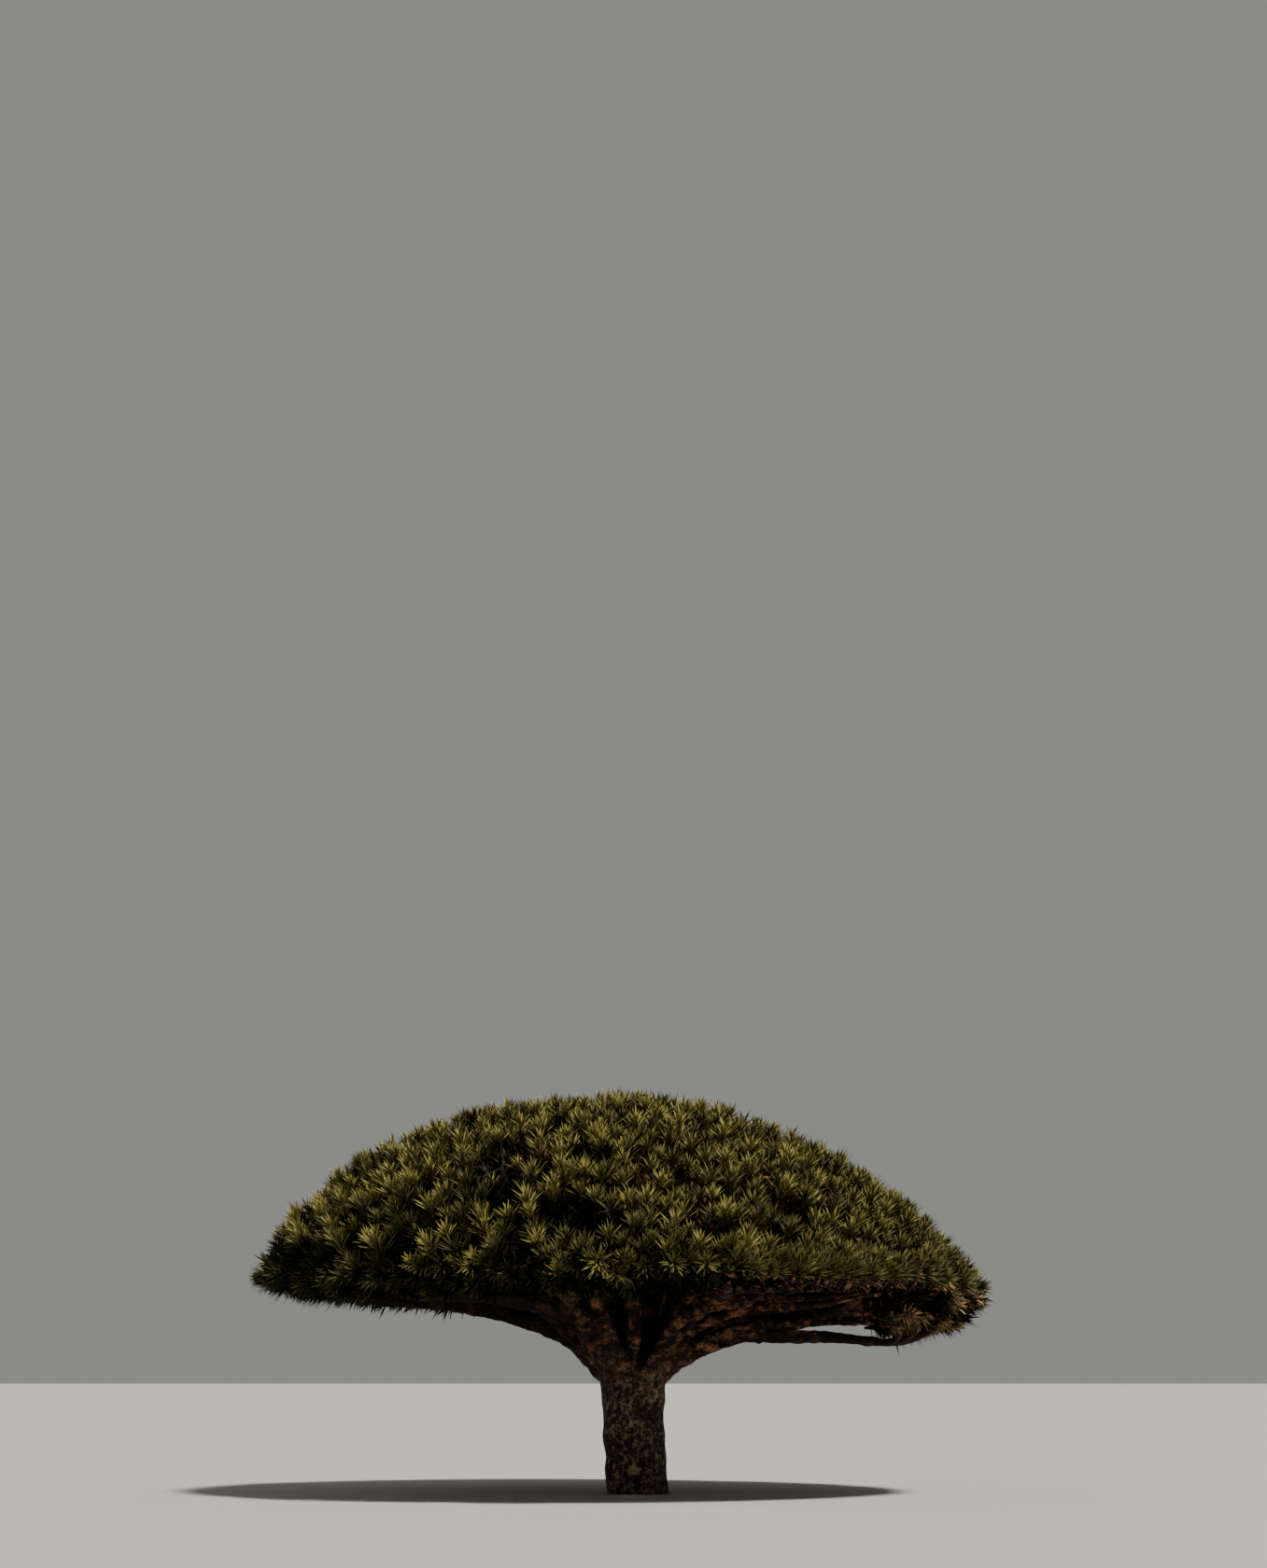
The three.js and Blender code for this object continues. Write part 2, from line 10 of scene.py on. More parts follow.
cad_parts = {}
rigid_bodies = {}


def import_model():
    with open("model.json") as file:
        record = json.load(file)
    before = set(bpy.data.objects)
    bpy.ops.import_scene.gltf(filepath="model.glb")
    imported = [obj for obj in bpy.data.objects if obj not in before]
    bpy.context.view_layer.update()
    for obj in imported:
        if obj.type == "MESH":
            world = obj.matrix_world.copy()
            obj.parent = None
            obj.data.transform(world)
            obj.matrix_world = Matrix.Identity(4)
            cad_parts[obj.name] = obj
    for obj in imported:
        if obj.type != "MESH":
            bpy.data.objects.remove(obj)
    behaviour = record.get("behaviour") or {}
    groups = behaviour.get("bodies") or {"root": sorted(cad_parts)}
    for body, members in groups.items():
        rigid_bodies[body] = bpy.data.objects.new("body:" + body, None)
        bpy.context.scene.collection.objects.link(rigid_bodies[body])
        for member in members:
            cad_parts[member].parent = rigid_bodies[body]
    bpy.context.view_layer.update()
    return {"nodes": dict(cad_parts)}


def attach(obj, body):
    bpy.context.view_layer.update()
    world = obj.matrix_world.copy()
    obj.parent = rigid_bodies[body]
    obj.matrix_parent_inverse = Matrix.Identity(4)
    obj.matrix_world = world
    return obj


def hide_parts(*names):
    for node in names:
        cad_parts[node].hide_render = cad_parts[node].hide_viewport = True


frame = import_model()

bl_info = {
    "name": "Dragon blood tree",
    "version": (1, 0, 0),
    "blender": (4, 5, 0),
    "location": "3D View > Sidebar > Dragon tree",
    "description": "Dresses the solids of a dragon blood tree with bark, branches and sword leaves",
    "category": "Object",
}

BODY = "root"
DEGREE = math.pi / 180
FULL_TURN = 2 * math.pi
GOLDEN_ANGLE = math.pi * (3 - math.sqrt(5))
UP = Vector((0.0, 0.0, 1.0))
# Without a seed the vector noise differs from run to run, and this one leaves no slit beside the fork
NOISE_SEED = 10

# The crown's outline, in metres, by the solids' rule with a deeper lip
CROWN_TOP = 5.375
RIM_LEVEL = 2.75
REACH_LEFT = 5.13
REACH_RIGHT = 4.73
LIP_DEPTH = 0.58
BACK_LIP_DEPTH = 0.14
LOW_LOBE_DEPTH = 0.98
LOW_LOBE_AZIMUTH = -10 * DEGREE
LOBE_SHARPNESS = 6
LOBE_FLOOR = 2.05
LIP_INSET_SHARE = 0.6
THINNEST_LIP = 0.06
SWELL_SIZE = 0.055
# The powers that shape shoulder and dome: in the middle, and the change towards the right end
SHOULDER_POWER = (1.85, -0.15)
DOME_POWER = (0.625, 0.125)

# The trunk
TRUNK_RADIUS = 0.398
ROOT_FLARE = 0.015
FLARE_HEIGHT = 0.17
FLARE_LOBES = 5
FLARE_LOBE_DEPTH = 0.5
COLLAR_FLARE = 0.03
COLLAR_START = 1.15
COLLAR_LEVEL = 1.42
TRUNK_TOP = 1.76
TRUNK_TOP_RADIUS = 0.25
TRUNK_LEAN = -0.062
TRUNK_SIDES = 56
TRUNK_STEPS = 36
# Its two sets of shallow flutes: depth, count, first turn and turn with the height
FLUTES = ((0.012, 3, 1.0, 0.6), (0.009, 7, 0.0, -0.8))

# Places on the trunk's front where the bark is worn pale: middle and radius
WORN_PLACES = [
    ((0.26, -0.3, 1.28), 0.17), ((0.2, -0.36, 1.46), 0.15), ((-0.01, -0.4, 0.31), 0.13),
    ((-0.2, -0.35, 0.9), 0.07),
]

# The limbs of the solids
FORK_LEVEL = 1.2
BOUGH_TIP_REACH = 3.3
BOUGH_ROOT_RADIUS = 0.185
BOUGH_TIP_RADIUS = 0.066
BOUGH_BEND = 0.9
BOUGH_START = 0.03
RISING_START = 0.05
LIMB_TAPER = 1.25
FORK_SHARE = 0.5
FORK_SWING = 18 * DEGREE
SWING_LEAD = 0.8
ARM_RADIUS = 0.112
ARM_REACH = 3.27
ARM_RISE = 0.06
ARM_BOW = 0.06
ARM_LIFT = 0.045
RIB_RADIUS = 0.078
RIB_TIP_RADIUS = 0.042
RIB_SHARE = 0.58
RIB_ARM_SHARE = 0.32
RIB_TURN = 18 * DEGREE
RIB_TIP_POLAR = 52 * DEGREE
RIB_TIP_INSET = 0.79
RIB_BOW = 0.11
RIB_SAG = 0.09

# Azimuth and tip level of each low bough, and what sets the drooping one apart
LOW_BOUGHS = [
    {"azimuth": 22, "tip_level": 2.43},
    {"azimuth": 95, "tip_level": 2.68},
    {"azimuth": 167, "tip_level": 2.5},
    {"azimuth": 238, "tip_level": 2.56},
    {"azimuth": 309, "tip_level": 2.7},
    {"azimuth": 346, "tip_level": 2.5, "swing": 0.0, "arm_turn": 8 * DEGREE, "droop": 0.53, "slender": 0.88},
]
# The boughs that rise: the solids' two rings, and the flank boughs that fill the fork between them
RISING_RINGS = [
    {"azimuths": (57, 131, 202, 273, 338), "reach": 1.78, "level": 3.65, "radius": 0.15, "bow": 0.56},
    {"azimuths": (35, 155, 275), "reach": 0.52, "level": 3.9, "radius": 0.165, "bow": 0.75},
    {"azimuths": (2, 40, 76, 112, 149, 186, 220, 249, 301, 328), "reach": 2.5, "level": 3.25,
     "radius": 0.125, "bow": 0.3},
]

# The long ribs under the crown's right side and back: azimuth and tip level before they droop
SIDE_RIBS = [
    (-63, 2.64), (-52, 2.78), (-39, 2.66), (-29, 2.78), (-19, 2.46), (-8, 2.47), (2, 2.72), (9, 2.52),
    (30, 2.62), (41, 2.74), (52, 2.64), (66, 2.72), (84, 2.66),
    (84.6, 2.58), (85, 2.8), (86.5, 2.7), (113, 2.7), (118, 2.66),
]
SIDE_RIB_DROOP = 0.24
SIDE_RIB_REACH = 1.2
SIDE_RIB_RADII = (0.1, 0.026)
SIDE_RIB_START = 0.1
SIDE_RIB_LIFT = 0.02
SIDE_RIB_TRIES = 12

# How far a limb's end turns up into the leaves
RIB_UPTURN = 0.3
FAN_UPTURN = 0.13
UPTURN_SHARE = 0.28

# The branches at the end of the low bough: where they leave it, azimuth, reach and level of the tip
LOBE_BRANCHES = [
    (0.95, 14, 3.95, 2.42), (0.96, -34, 3.9, 2.34), (0.98, 3, 4.05, 2.24), (0.98, -25, 4.02, 2.16),
    (1.0, -13, 4.12, 2.2), (1.0, -5, 3.95, 2.5), (1.0, -18, 3.9, 2.46), (0.97, 8, 3.8, 2.14),
]
LOBE_BRANCH_RADII = (0.05, 0.026)

# The dark groove of the fork's front: foot and head on the plane y = 0, half width and depth
GROOVE_FOOT = (-0.01, 1.55)
GROOVE_HEAD = (0.25, 2.2)
GROOVE_HALF_WIDTH = (0.05, 0.17)
GROOVE_DEPTH = 0.12
# How far up it is cut, as a share from foot to head, and how fast it deepens at its two ends
GROOVE_END = 1.4
GROOVE_EASE = (4, 2.5)
# Edges of its shade: to the back in metres, at foot and head as shares, and sideways in half widths
GROOVE_SHADE_BACK = (-0.1, 0.1)
GROOVE_SHADE_FOOT = (-0.05, 0.15)
GROOVE_SHADE_HEAD = (1.2, 1.6)
GROOVE_SHADE_SIDE = (0.6, 1.1)

# Further forks of each low limb: where they start on a bough and on an arm, the turn to the side in
# degrees, how far they reach, how thick they start, the sides they turn to and how far they rise
FAN_FORKS = [
    {"shares": (0.6, 0.34), "turn": 12, "reach": 3.85, "radius": 0.082, "sides": (-1, 1), "lift": -0.05},
    {"shares": (0.45, 0.45), "turn": 6, "reach": 4.05, "radius": 0.056, "sides": (1,), "lift": -0.01},
    {"shares": (0.2, 0.04), "turn": 7, "reach": 3.5, "radius": 0.095, "sides": (-1, 1), "lift": 0.2},
    {"shares": (0.28, 0.12), "turn": 13, "reach": 3.6, "radius": 0.085, "sides": (-1, 1), "lift": 0.42},
]
FAN_TIP_RADIUS = 0.024
FAN_PARENT_SHARE = 0.85
FAN_SIDE_SHIFT = 0.09
FAN_LEVEL_SPREAD = 0.1
FAN_LEVEL_WAVE = 7.3
FAN_LOBE_DROP = 0.24
FAN_MOST_FALL = 0.05
FAN_FLATNESS = 0.42
FAN_LIFT = 0.12
FAN_TRIES = 4

# The tubes of the limbs: how far their axis and radius wander, and the swell where they leave the fork
LIMB_SIDES = 14
LIMB_STEPS = 26
AXIS_WANDER = 0.35
AXIS_WANDER_SCALE = 1.6
AXIS_WANDER_PLACE = Vector((3.1, 0.0, 7.7))
WANDER_EASE = 4
RADIUS_WANDER = 0.16
RADIUS_WANDER_SCALES = (2.2, 0.9)
SWELL_AT_FORK = 0.22
SWELL_SHARE = 0.3

# The zone of the fork that is smoothed: its reach, foot and head, each with the width of its edge
FORK_ZONE_REACH = (1.35, 0.6)
FORK_ZONE_FOOT = (1.05, 0.3)
FORK_ZONE_HEAD = (2.1, 0.4)
LEAST_WEIGHT = 0.01
SMOOTHING = (("smooth", 5, ""), ("flow", 32, "fork"))

# The relief of the bark: where the trunk's ends, scales of the noise, and what is left of it on boughs
TRUNK_RELIEF = (1.3, 0.9)
FURROW_SCALE = (7.5, 1.3)
FURROW_EDGE = 0.22
FURROW_SPAN = 2
LUMP_SCALE = 3.4
FOLD_SCALE = (11, 7)
FOLD_SHARE = 0.35
BOUGH_FURROWS = 0.35
BOUGH_LUMPS = 0.5
FOOT_LEVEL = 0.012

# The noises of the bark: scale, detail, roughness and how far each is drawn out along the height
BARK_NOISES = {
    "broad": (2.3, 3.0, 0.5, 1.0),
    "mottle": (14.0, 5.0, 0.68, 0.75),
    "speckle": (34.0, 3.0, 0.6, 1.0),
    "furrows": (22.0, 5.0, 0.6, 0.3),
    "streaks": (4.8, 6.0, 0.62, 1.5),
    "flaking": (6.0, 5.0, 0.6, 0.75),
}
# Where each part of the bark's pattern begins and where it is full
BOUGH_BARK_LEVELS = (1.25, 1.95)
TRUNK_SPECKLES = (0.48, 0.6)
BOUGH_STREAKS = (0.48, 0.65)
FLAKES = (0.63, 0.67)
FLAKE_MOTTLES = (0.4, 0.55)
# The creases also carry painted shade
CREASES = (0.38, 0.47)
WORN_CORE = 0.45
# The same for the shade: on the low bough rightwards and downwards, and on the boughs leftwards
LOW_BOUGH_ACROSS = (0.9, 1.9)
LOW_BOUGH_LEVELS = (2.06, 2.16)
LEFT_BOUGHS_ACROSS = (-1.3, -0.2)
# How dark the painted shade in the creases and the other painted shade are, and how rough, glossy and uneven
# the bark's surface is
CREASE_PAINTED_SHADE = 0.45
LEFT_SHADE = 0.85
LOW_SHADE = 0.8
BARK_ROUGHNESS = 0.74
BARK_GLOSS = 0.25
BUMP_HEIGHT = 0.04

# A leaf's colour: its patches, and how dark its foot and how pale its tip are and where they end; the dark
# foot is partly painted shade and the pale tip partly painted light
LEAF_PATCHES = (9.0, 3.0, 0.6)
FOOT_TONE_AND_SHADE = 0.2
TIP_TONE_AND_LIGHT = 1.9
FOOT_EDGE = (0.35, 0.8)
TIP_EDGE = (0.85, 1.3)
LEAF_ROUGHNESS = 0.5

# A blade's width along it, as shares of the widest: at the foot, its growth and the taper to the tip
BLADE_FOOT = 0.7
BLADE_GROWTH = 0.6
BLADE_TAPER = 1.9
# How much the leaves of a tuft differ: in tilt, turn and roll, in radians, and in size
TILT_WANDER = 0.16
TURN_WANDER = 0.3
ROLL_WANDER = 0.14
LEAF_SIZES = (0.76, 1.12)
INNERMOST_SIZE = 0.8
# How far along the axis the innermost leaves start, and how much further back the outermost do
LEAF_START = 0.08
LEAF_START_DROP = 0.12

# The photograph's frame and the place that it was taken from
CAMERA_PLACE = Vector((-0.044, -46.0, 1.6))
CAMERA_PITCH = 9.81 * DEGREE
CAMERA_HEIGHT_ANGLE = 26 * DEGREE
SENSOR_HEIGHT = 24.0
CAMERA_RANGE = 2000.0

# The light and the floor
KEY_DIRECTION = Vector((0.42, -0.5, 1.05))
KEY_COLOUR = (1, 0.95, 0.86)
KEY_SPREAD = 8 * DEGREE
SKY_COLOUR = (0.92, 0.92, 0.9, 1.0)
FLOOR_HALF = 400.0
FLOOR_ROUGHNESS = 0.9

# The two windows of sky under the crown's lower right: low and high corner of each on the plane y = 0
WINDOWS = [((2.33, 2.09), (2.85, 2.15)), ((2.91, 2.08), (3.12, 2.11))]
# The least gap between a limb and a window, and the places on a limb where it's measured
WINDOW_GAP = 0.01
LIMB_SAMPLES = 12
LINE_SAMPLES = 4
# How far ahead of its root a tuft's distance to the windows is taken
TUFT_MIDDLE = 0.2

# Hollows between the tufts: azimuth and polar angle in degrees, and radius in metres
HOLLOWS = [
    (238, 45, 0.3), (243, 52, 0.34), (247, 60, 0.32),
    (257, 64, 0.34), (262, 68, 0.34),
    (221, 79, 0.26), (231, 77, 0.28), (231, 86, 0.24),
    (253, 85, 0.26), (255, 93, 0.26), (239, 84, 0.24), (332, 84, 0.26),
    (40, 60, 0.3), (46, 66, 0.28), (150, 55, 0.28), (140, 80, 0.3), (15, 50, 0.26), (300, 58, 0.22),
    (180, 62, 0.26), (120, 40, 0.24),
]
HOLLOW_DEPTH = 0.45
HOLLOW_INSET = 0.1

# On the front right the leaves end above the ribs, where the last tufts stand between two polar angles
BARE_FRONT = (283 * DEGREE, 328 * DEGREE)
BARE_FRONT_LEVEL = 2.66
BARE_FRONT_POLARS = (76 * DEGREE, 92 * DEGREE)

# How far a tuft leans, as a share of the outline's own angle: on the dome and at the rim
LEAN_SHARE = 0.46
RIM_LEAN_SHARE = 0.74
RIM_FACING = 55 * DEGREE
RIM_FACING_EDGE = 0.7
MOST_LEAN = 94 * DEGREE
# How deep a tuft's root lies, as a share of its leaves' length, and as a share of that on the underside
ROOT_SHARE = 0.97
UNDERSIDE_ROOT_SHARE = 0.75
UNDERSIDE_POLAR = 101 * DEGREE

# How the tufts are spread by equal area: the lowest polar angle, the samples, the inset and the wander
LAST_TUFT_POLAR = 128 * DEGREE
AREA_STEPS = 80
AREA_INSET = 0.3
POLAR_WANDER = 0.025
DEPTH_POWER = 1.6
SPIN_RANGE = 6.28
# The extra tufts of the low lobe
LOBE_HALF_WIDTH = 30 * DEGREE
LOBE_POLARS = (93 * DEGREE, 131 * DEGREE)

# The groups of tufts: range of depths and of sizes, seed, and how far they keep from the windows
TUFT_GROUPS = {
    "outer": {"depths": (0.0, 0.4), "sizes": (0.78, 1.18), "seed": 20, "clear": 0.32},
    "lobe": {"depths": (0.0, 0.4), "sizes": (0.75, 1.2), "seed": 22, "clear": 0.13},
    "inner": {"depths": (0.4, 1.0), "sizes": (1.1, 1.35), "seed": 21, "clear": 0.45},
    "inner_lobe": {"depths": (0.3, 0.7), "sizes": (0.55, 0.75), "seed": 23, "clear": 0.24},
}

# What sets the kinds of leaf apart: number, length and width as shares, extra tilt, and gloss
PLAIN_LEAF = {"number": 1.0, "length": 1.0, "width": 1.0, "tilt": 0.0, "gloss": 0.22}
LEAF_KINDS = {
    "sunlit": {},
    "olive": {},
    "deep": {},
    "rust": {},
    "dry": {"length": 0.8, "tilt": 0.3},
    "shade": {"tilt": 0.15, "gloss": 0.04},
    "inner": {"number": 0.84, "length": 1.25, "width": 2.7, "tilt": 0.3, "gloss": 0.04},
}
SEED_STEP = 10

# Kinds of leaf by place, each dealt to the chances below its limit
LOBE_KINDS = (("dry", 0.28), ("rust", 0.42), ("deep", 0.58), ("shade", 1.0))
UNDERSIDE_KINDS = (("shade", 0.85), ("deep", 1.0))
DARK_KINDS = (("shade", 1.0),)
# On the rest of the dome a few tufts get the painted shade colour
OTHER_KINDS = (("olive", 0.91), ("shade", 0.97), ("rust", 1.0))
# Where the lobe's kinds begin, and the left end in deep shade: azimuths and upper polar angle
LOBE_KINDS_POLAR = 97 * DEGREE
LOBE_KINDS_SHARE = 0.4
DARK_END = (187 * DEGREE, 217 * DEGREE)
DARK_END_POLAR = 78 * DEGREE
# The shares of the painted sunlit tone and of deep green leaves, partly painted shade: on the dome, and their
# changes to the right and at the rim
RIGHT_AZIMUTH = 340 * DEGREE
RIM_POLARS = (62 * DEGREE, 30 * DEGREE)
SUNLIT_SHARES = (0.38, 0.24, 0.16)
DEEP_SHARES = (0.26, 0.36, 0.18)

# Twigs: how a stem thickens with the tufts that it feeds, and where the last one ends
TWIG_GROWTH = 0.36
STEM_GROWTH = 0.4
STEM_SHARE = 0.8
SECOND_STEM_SHARES = (0.8, 0.9)
FORK_SUNK = 0.4
TWIG_WANDER = 0.05
TWIG_WANDER_SCALE = 3.0
TWIG_END = 0.14
TWIG_INSIDE = 0.05
TWIG_HEAD = 1.2
LEAST_GAP = 0.01
# Places on a limb that twigs may leave from: the first and the number of steps, on boughs and on others
BOUGH_STATIONS = (0.35, 7)
OTHER_STATIONS = (0.5, 4)
STATION_BACK = 0.06
STATION_AHEAD = 0.05
# A place counts as further away by up to this much where the tuft isn't straight ahead of it
SIDEWAYS_COST = 0.75
# Radius from which a twig's line is made with more sides, as a branchlet
BRANCHLET_RADIUS = 0.03
FAN_LINE_STEPS = 8


def length_setting(name, description, default, least=0.0):
    return bpy.props.FloatProperty(
        name=name, description=description, default=default, min=least, unit="LENGTH")


def number_setting(name, description, default, **more):
    return bpy.props.FloatProperty(name=name, description=description, default=default, **more)


def count_setting(name, description, default, least):
    return bpy.props.IntProperty(name=name, description=description, default=default, min=least)


def colour_setting(name, description, default):
    return bpy.props.FloatVectorProperty(
        name=name, description=description, default=default, subtype="COLOR", min=0.0, max=1.0)


class BarkSettings(bpy.types.PropertyGroup):
    """Sizes and colours of the trunk, the boughs and the branches."""

    voxel: length_setting(
        "Voxel", "Size of the faces of trunk and boughs before they are thinned", 0.0215, 0.01)
    triangles: count_setting(
        "Triangles", "Most triangles that trunk and boughs are thinned to", 180000, 1000)
    furrow_depth: length_setting("Furrow depth", "Depth of the furrows along the trunk", 0.024)
    lump_size: length_setting("Lumps", "Height of the lumps on trunk and boughs", 0.03)
    twig_radius: length_setting("Twig radius", "Radius of the stem under a tuft", 0.021, 0.005)
    dark: colour_setting("Dark bark", "Colour of the shaded, weathered bark", (0.032, 0.021, 0.016))
    brown: colour_setting("Brown bark", "Colour of the speckles on the trunk", (0.31, 0.205, 0.15))
    # The bough colour stands partly for painted shade under the crown, and it also paints the shade in the
    # creases, on the left boughs, under the low bough and in the fork's groove
    black_and_shade: colour_setting("Black bark", "Colour of the boughs under the crown", (0.0085, 0.0046, 0.003))
    red: colour_setting("Red bark", "Colour of the bark on the boughs", (0.37, 0.156, 0.076))
    tan: colour_setting("Tan bark", "Colour of the worn patches", (0.52, 0.38, 0.21))


class LeafSettings(bpy.types.PropertyGroup):
    """Number, sizes and colours of the leaves."""

    tufts: count_setting("Tufts", "Number of leaf tufts on the crown's outside", 3000, 100)
    lobe_tufts: count_setting("Lobe tufts", "Number of extra tufts of the low lobe", 130, 0)
    inner_tufts: count_setting("Inner tufts", "Number of shaded leaf tufts behind them", 1350, 0)
    leaves: count_setting("Leaves", "Leaves in one tuft", 28, 5)
    length: length_setting("Leaf length", "Length of a full-grown leaf", 0.275, 0.05)
    width: length_setting("Leaf width", "Width of a leaf at its widest", 0.031, 0.005)
    fold: number_setting("Fold", "How far a leaf's edges stand up, as a share of its width", 0.5)
    arch: number_setting("Arch", "How far a leaf's tip bends out, as a share of its length", 0.12)
    inner_tilt: number_setting(
        "Inner tilt", "Tilt of a tuft's innermost leaves", 4 * DEGREE, subtype="ANGLE")
    outer_tilt: number_setting(
        "Outer tilt", "Tilt of a tuft's outermost leaves", 44 * DEGREE, subtype="ANGLE")
    # The sunlit colour is painted light: a paler tone for leaves that catch the sun
    sunlit: colour_setting("Sunlit leaves", "Colour of the youngest leaves", (0.23, 0.203, 0.053))
    olive: colour_setting("Olive leaves", "Colour of most leaves", (0.13, 0.117, 0.03))
    # Deep green is partly the older leaves' colour and partly painted shade, dealt more to the right and at
    # the rim
    deep: colour_setting("Deep green leaves", "Colour of the older leaves", (0.068, 0.064, 0.016))
    rust: colour_setting("Rusty leaves", "Colour of leaves that turn brown", (0.1, 0.074, 0.026))
    dry: colour_setting("Dry leaves", "Colour of the dead leaves at the low lobe", (0.42, 0.27, 0.14))
    # Painted shade: the very dark leaves of the underside, the left end, the low lobe and a few tufts on the
    # dome
    shade: colour_setting("Shaded leaves", "Colour of the old leaves on the underside", (0.01, 0.01, 0.0035))
    # Painted shade: the very dark leaves inside the crown
    inner: colour_setting("Inner leaves", "Colour of the old leaves inside the crown", (0.009, 0.009, 0.0035))


class StageSettings(bpy.types.PropertyGroup):
    """Floor and light."""

    floor: colour_setting("Floor", "Colour of the floor", (0.47, 0.46, 0.44))
    key_energy: number_setting("Key light", "Strength of the key light", 5.3, min=0.0)
    sky_strength: number_setting("Sky", "Strength of the even light from all sides", 0.29, min=0.0)


def arithmetic(operation):
    """The method for one operation, and the one for a plain number on the left."""

    def plain(wire, other):
        return wire.maker.math(operation, wire, other)

    def reflected(wire, other):
        return wire.maker.math(operation, other, wire)

    return plain, reflected


class Wire:
    """An output socket that Python's arithmetic can be used on."""

    def __init__(self, maker, socket):
        self.maker = maker
        self.socket = socket

    __add__, __radd__ = arithmetic("ADD")
    __sub__, __rsub__ = arithmetic("SUBTRACT")
    __mul__, __rmul__ = arithmetic("MULTIPLY")
    __truediv__, __rtruediv__ = arithmetic("DIVIDE")

    def __abs__(self):
        return self.maker.math("ABSOLUTE", self)

    def output(self, name):
        return Wire(self.maker, self.maker.find(self.socket.node.outputs, name))


class NodeMaker:
    """Adds nodes to one tree and joins their sockets."""

    def __init__(self, tree):
        self.tree = tree

    def find(self, sockets, key):
        if isinstance(key, int):
            return sockets[key]
        for socket in sockets:
            if socket.identifier == key:
                return socket
        return next(socket for socket in sockets if socket.name == key and socket.enabled)

    def node(self, kind, inputs=None, output=0, **settings):
        made = self.tree.nodes.new(kind)
        for name, value in settings.items():
            setattr(made, name, value)
        for key, value in (inputs or {}).items():
            socket = self.find(made.inputs, key)
            if isinstance(value, Wire):
                self.tree.links.new(value.socket, socket)
            else:
                socket.default_value = value
        return Wire(self, self.find(made.outputs, output)) if made.outputs else None

    def math(self, operation, *values):
        return self.node("ShaderNodeMath", dict(enumerate(values)), operation=operation)

    def mix(self, factor, first, second):
        """Each of the two colours is a wire or three plain values."""
        first, second = (colour if isinstance(colour, Wire) else (*colour, 1.0) for colour in (first, second))
        inputs = {"Factor_Float": factor, "A_Color": first, "B_Color": second}
        return self.node("ShaderNodeMix", inputs, "Result_Color", data_type="RGBA")

    def ramp(self, value, low, high):
        """0 below low, 1 above high and smooth between."""
        inputs = {"Value": value, "From Min": low, "From Max": high}
        return self.node("ShaderNodeMapRange", inputs, interpolation_type="SMOOTHSTEP")

    def noise(self, place, scale, detail, roughness, stretch=1.0):
        place = self.node("ShaderNodeMapping", {"Vector": place, "Scale": (1.0, 1.0, stretch)})
        inputs = {"Vector": place, "Scale": scale, "Detail": detail, "Roughness": roughness}
        return self.node("ShaderNodeTexNoise", inputs, "Fac")

    def split(self, vector):
        """The vector's X, from which output gives its Y and Z."""
        return self.node("ShaderNodeSeparateXYZ", {"Vector": vector}, "X")


def smooth(value):
    t = min(max(value, 0.0), 1.0)
    return t * t * (3 - 2 * t)


def between(pair, share):
    return pair[0] + (pair[1] - pair[0]) * share


def level(azimuth):
    return Vector((math.cos(azimuth), math.sin(azimuth), 0.0))


def low_lobe(azimuth):
    return max(0.0, math.cos(azimuth - LOW_LOBE_AZIMUTH)) ** LOBE_SHARPNESS


def crown_swell(azimuth, polar):
    """How far the outline stands out in three and five broad waves round the crown."""
    return SWELL_SIZE * math.sin(3 * azimuth + 4 * polar + 1) * math.sin(5 * azimuth + 2)


def crown_point(azimuth, polar, inset):
    """A point of the crown's outline, or of the same shape drawn in by the inset."""
    right = math.cos(azimuth)
    swell = crown_swell(azimuth, polar)
    reach = (REACH_RIGHT + REACH_LEFT) / 2 + (REACH_RIGHT - REACH_LEFT) / 2 * right + swell - inset
    share = math.sin(polar)
    point = level(azimuth) * (reach * share)
    if polar < math.pi / 2:
        fall = max(0.0, 1 - share ** (SHOULDER_POWER[0] + SHOULDER_POWER[1] * right))
        dome = fall ** (DOME_POWER[0] + DOME_POWER[1] * right)
        point.z = RIM_LEVEL + (CROWN_TOP - RIM_LEVEL - inset + swell * share) * dome
    else:
        lip = LIP_DEPTH + BACK_LIP_DEPTH * max(0.0, math.sin(azimuth))
        hanging = lip + LOW_LOBE_DEPTH * low_lobe(azimuth) - LIP_INSET_SHARE * inset
        point.z = max(RIM_LEVEL + max(hanging, THINNEST_LIP) * math.cos(polar), LOBE_FLOOR)
    return point


def outline_angle(azimuth, polar):
    """How far the outline's outward direction leans from upright there."""
    step = 0.06
    below = crown_point(azimuth, polar + step, 0.0)
    above = crown_point(azimuth, max(polar - step, 0.0), 0.0)
    run = math.hypot(below.x, below.y) - math.hypot(above.x, above.y)
    return math.atan2(above.z - below.z, run)


class Limb:
    """A tapering limb along a line from 0 to 1."""

    def __init__(self, line, root_radius, tip_radius, start=0.0, parent=None):
        self.point = line
        self.root_radius = root_radius
        self.tip_radius = tip_radius
        self.start = start
        self.parent = parent
        self.drooping = False

    def tangent(self, t):
        step = 0.01
        return (self.point(min(t + step, 1.0)) - self.point(max(t - step, 0.0))).normalized()

    def radius(self, t):
        thicker = self.root_radius - self.tip_radius
        return self.tip_radius + thicker * max(0.0, 1 - t) ** LIMB_TAPER

    def heading(self):
        return math.atan2(self.point(1).y, self.point(1).x)


def bezier(start, bend, tip):
    return lambda t: start * (1 - t) ** 2 + bend * (2 * t * (1 - t)) + tip * t ** 2


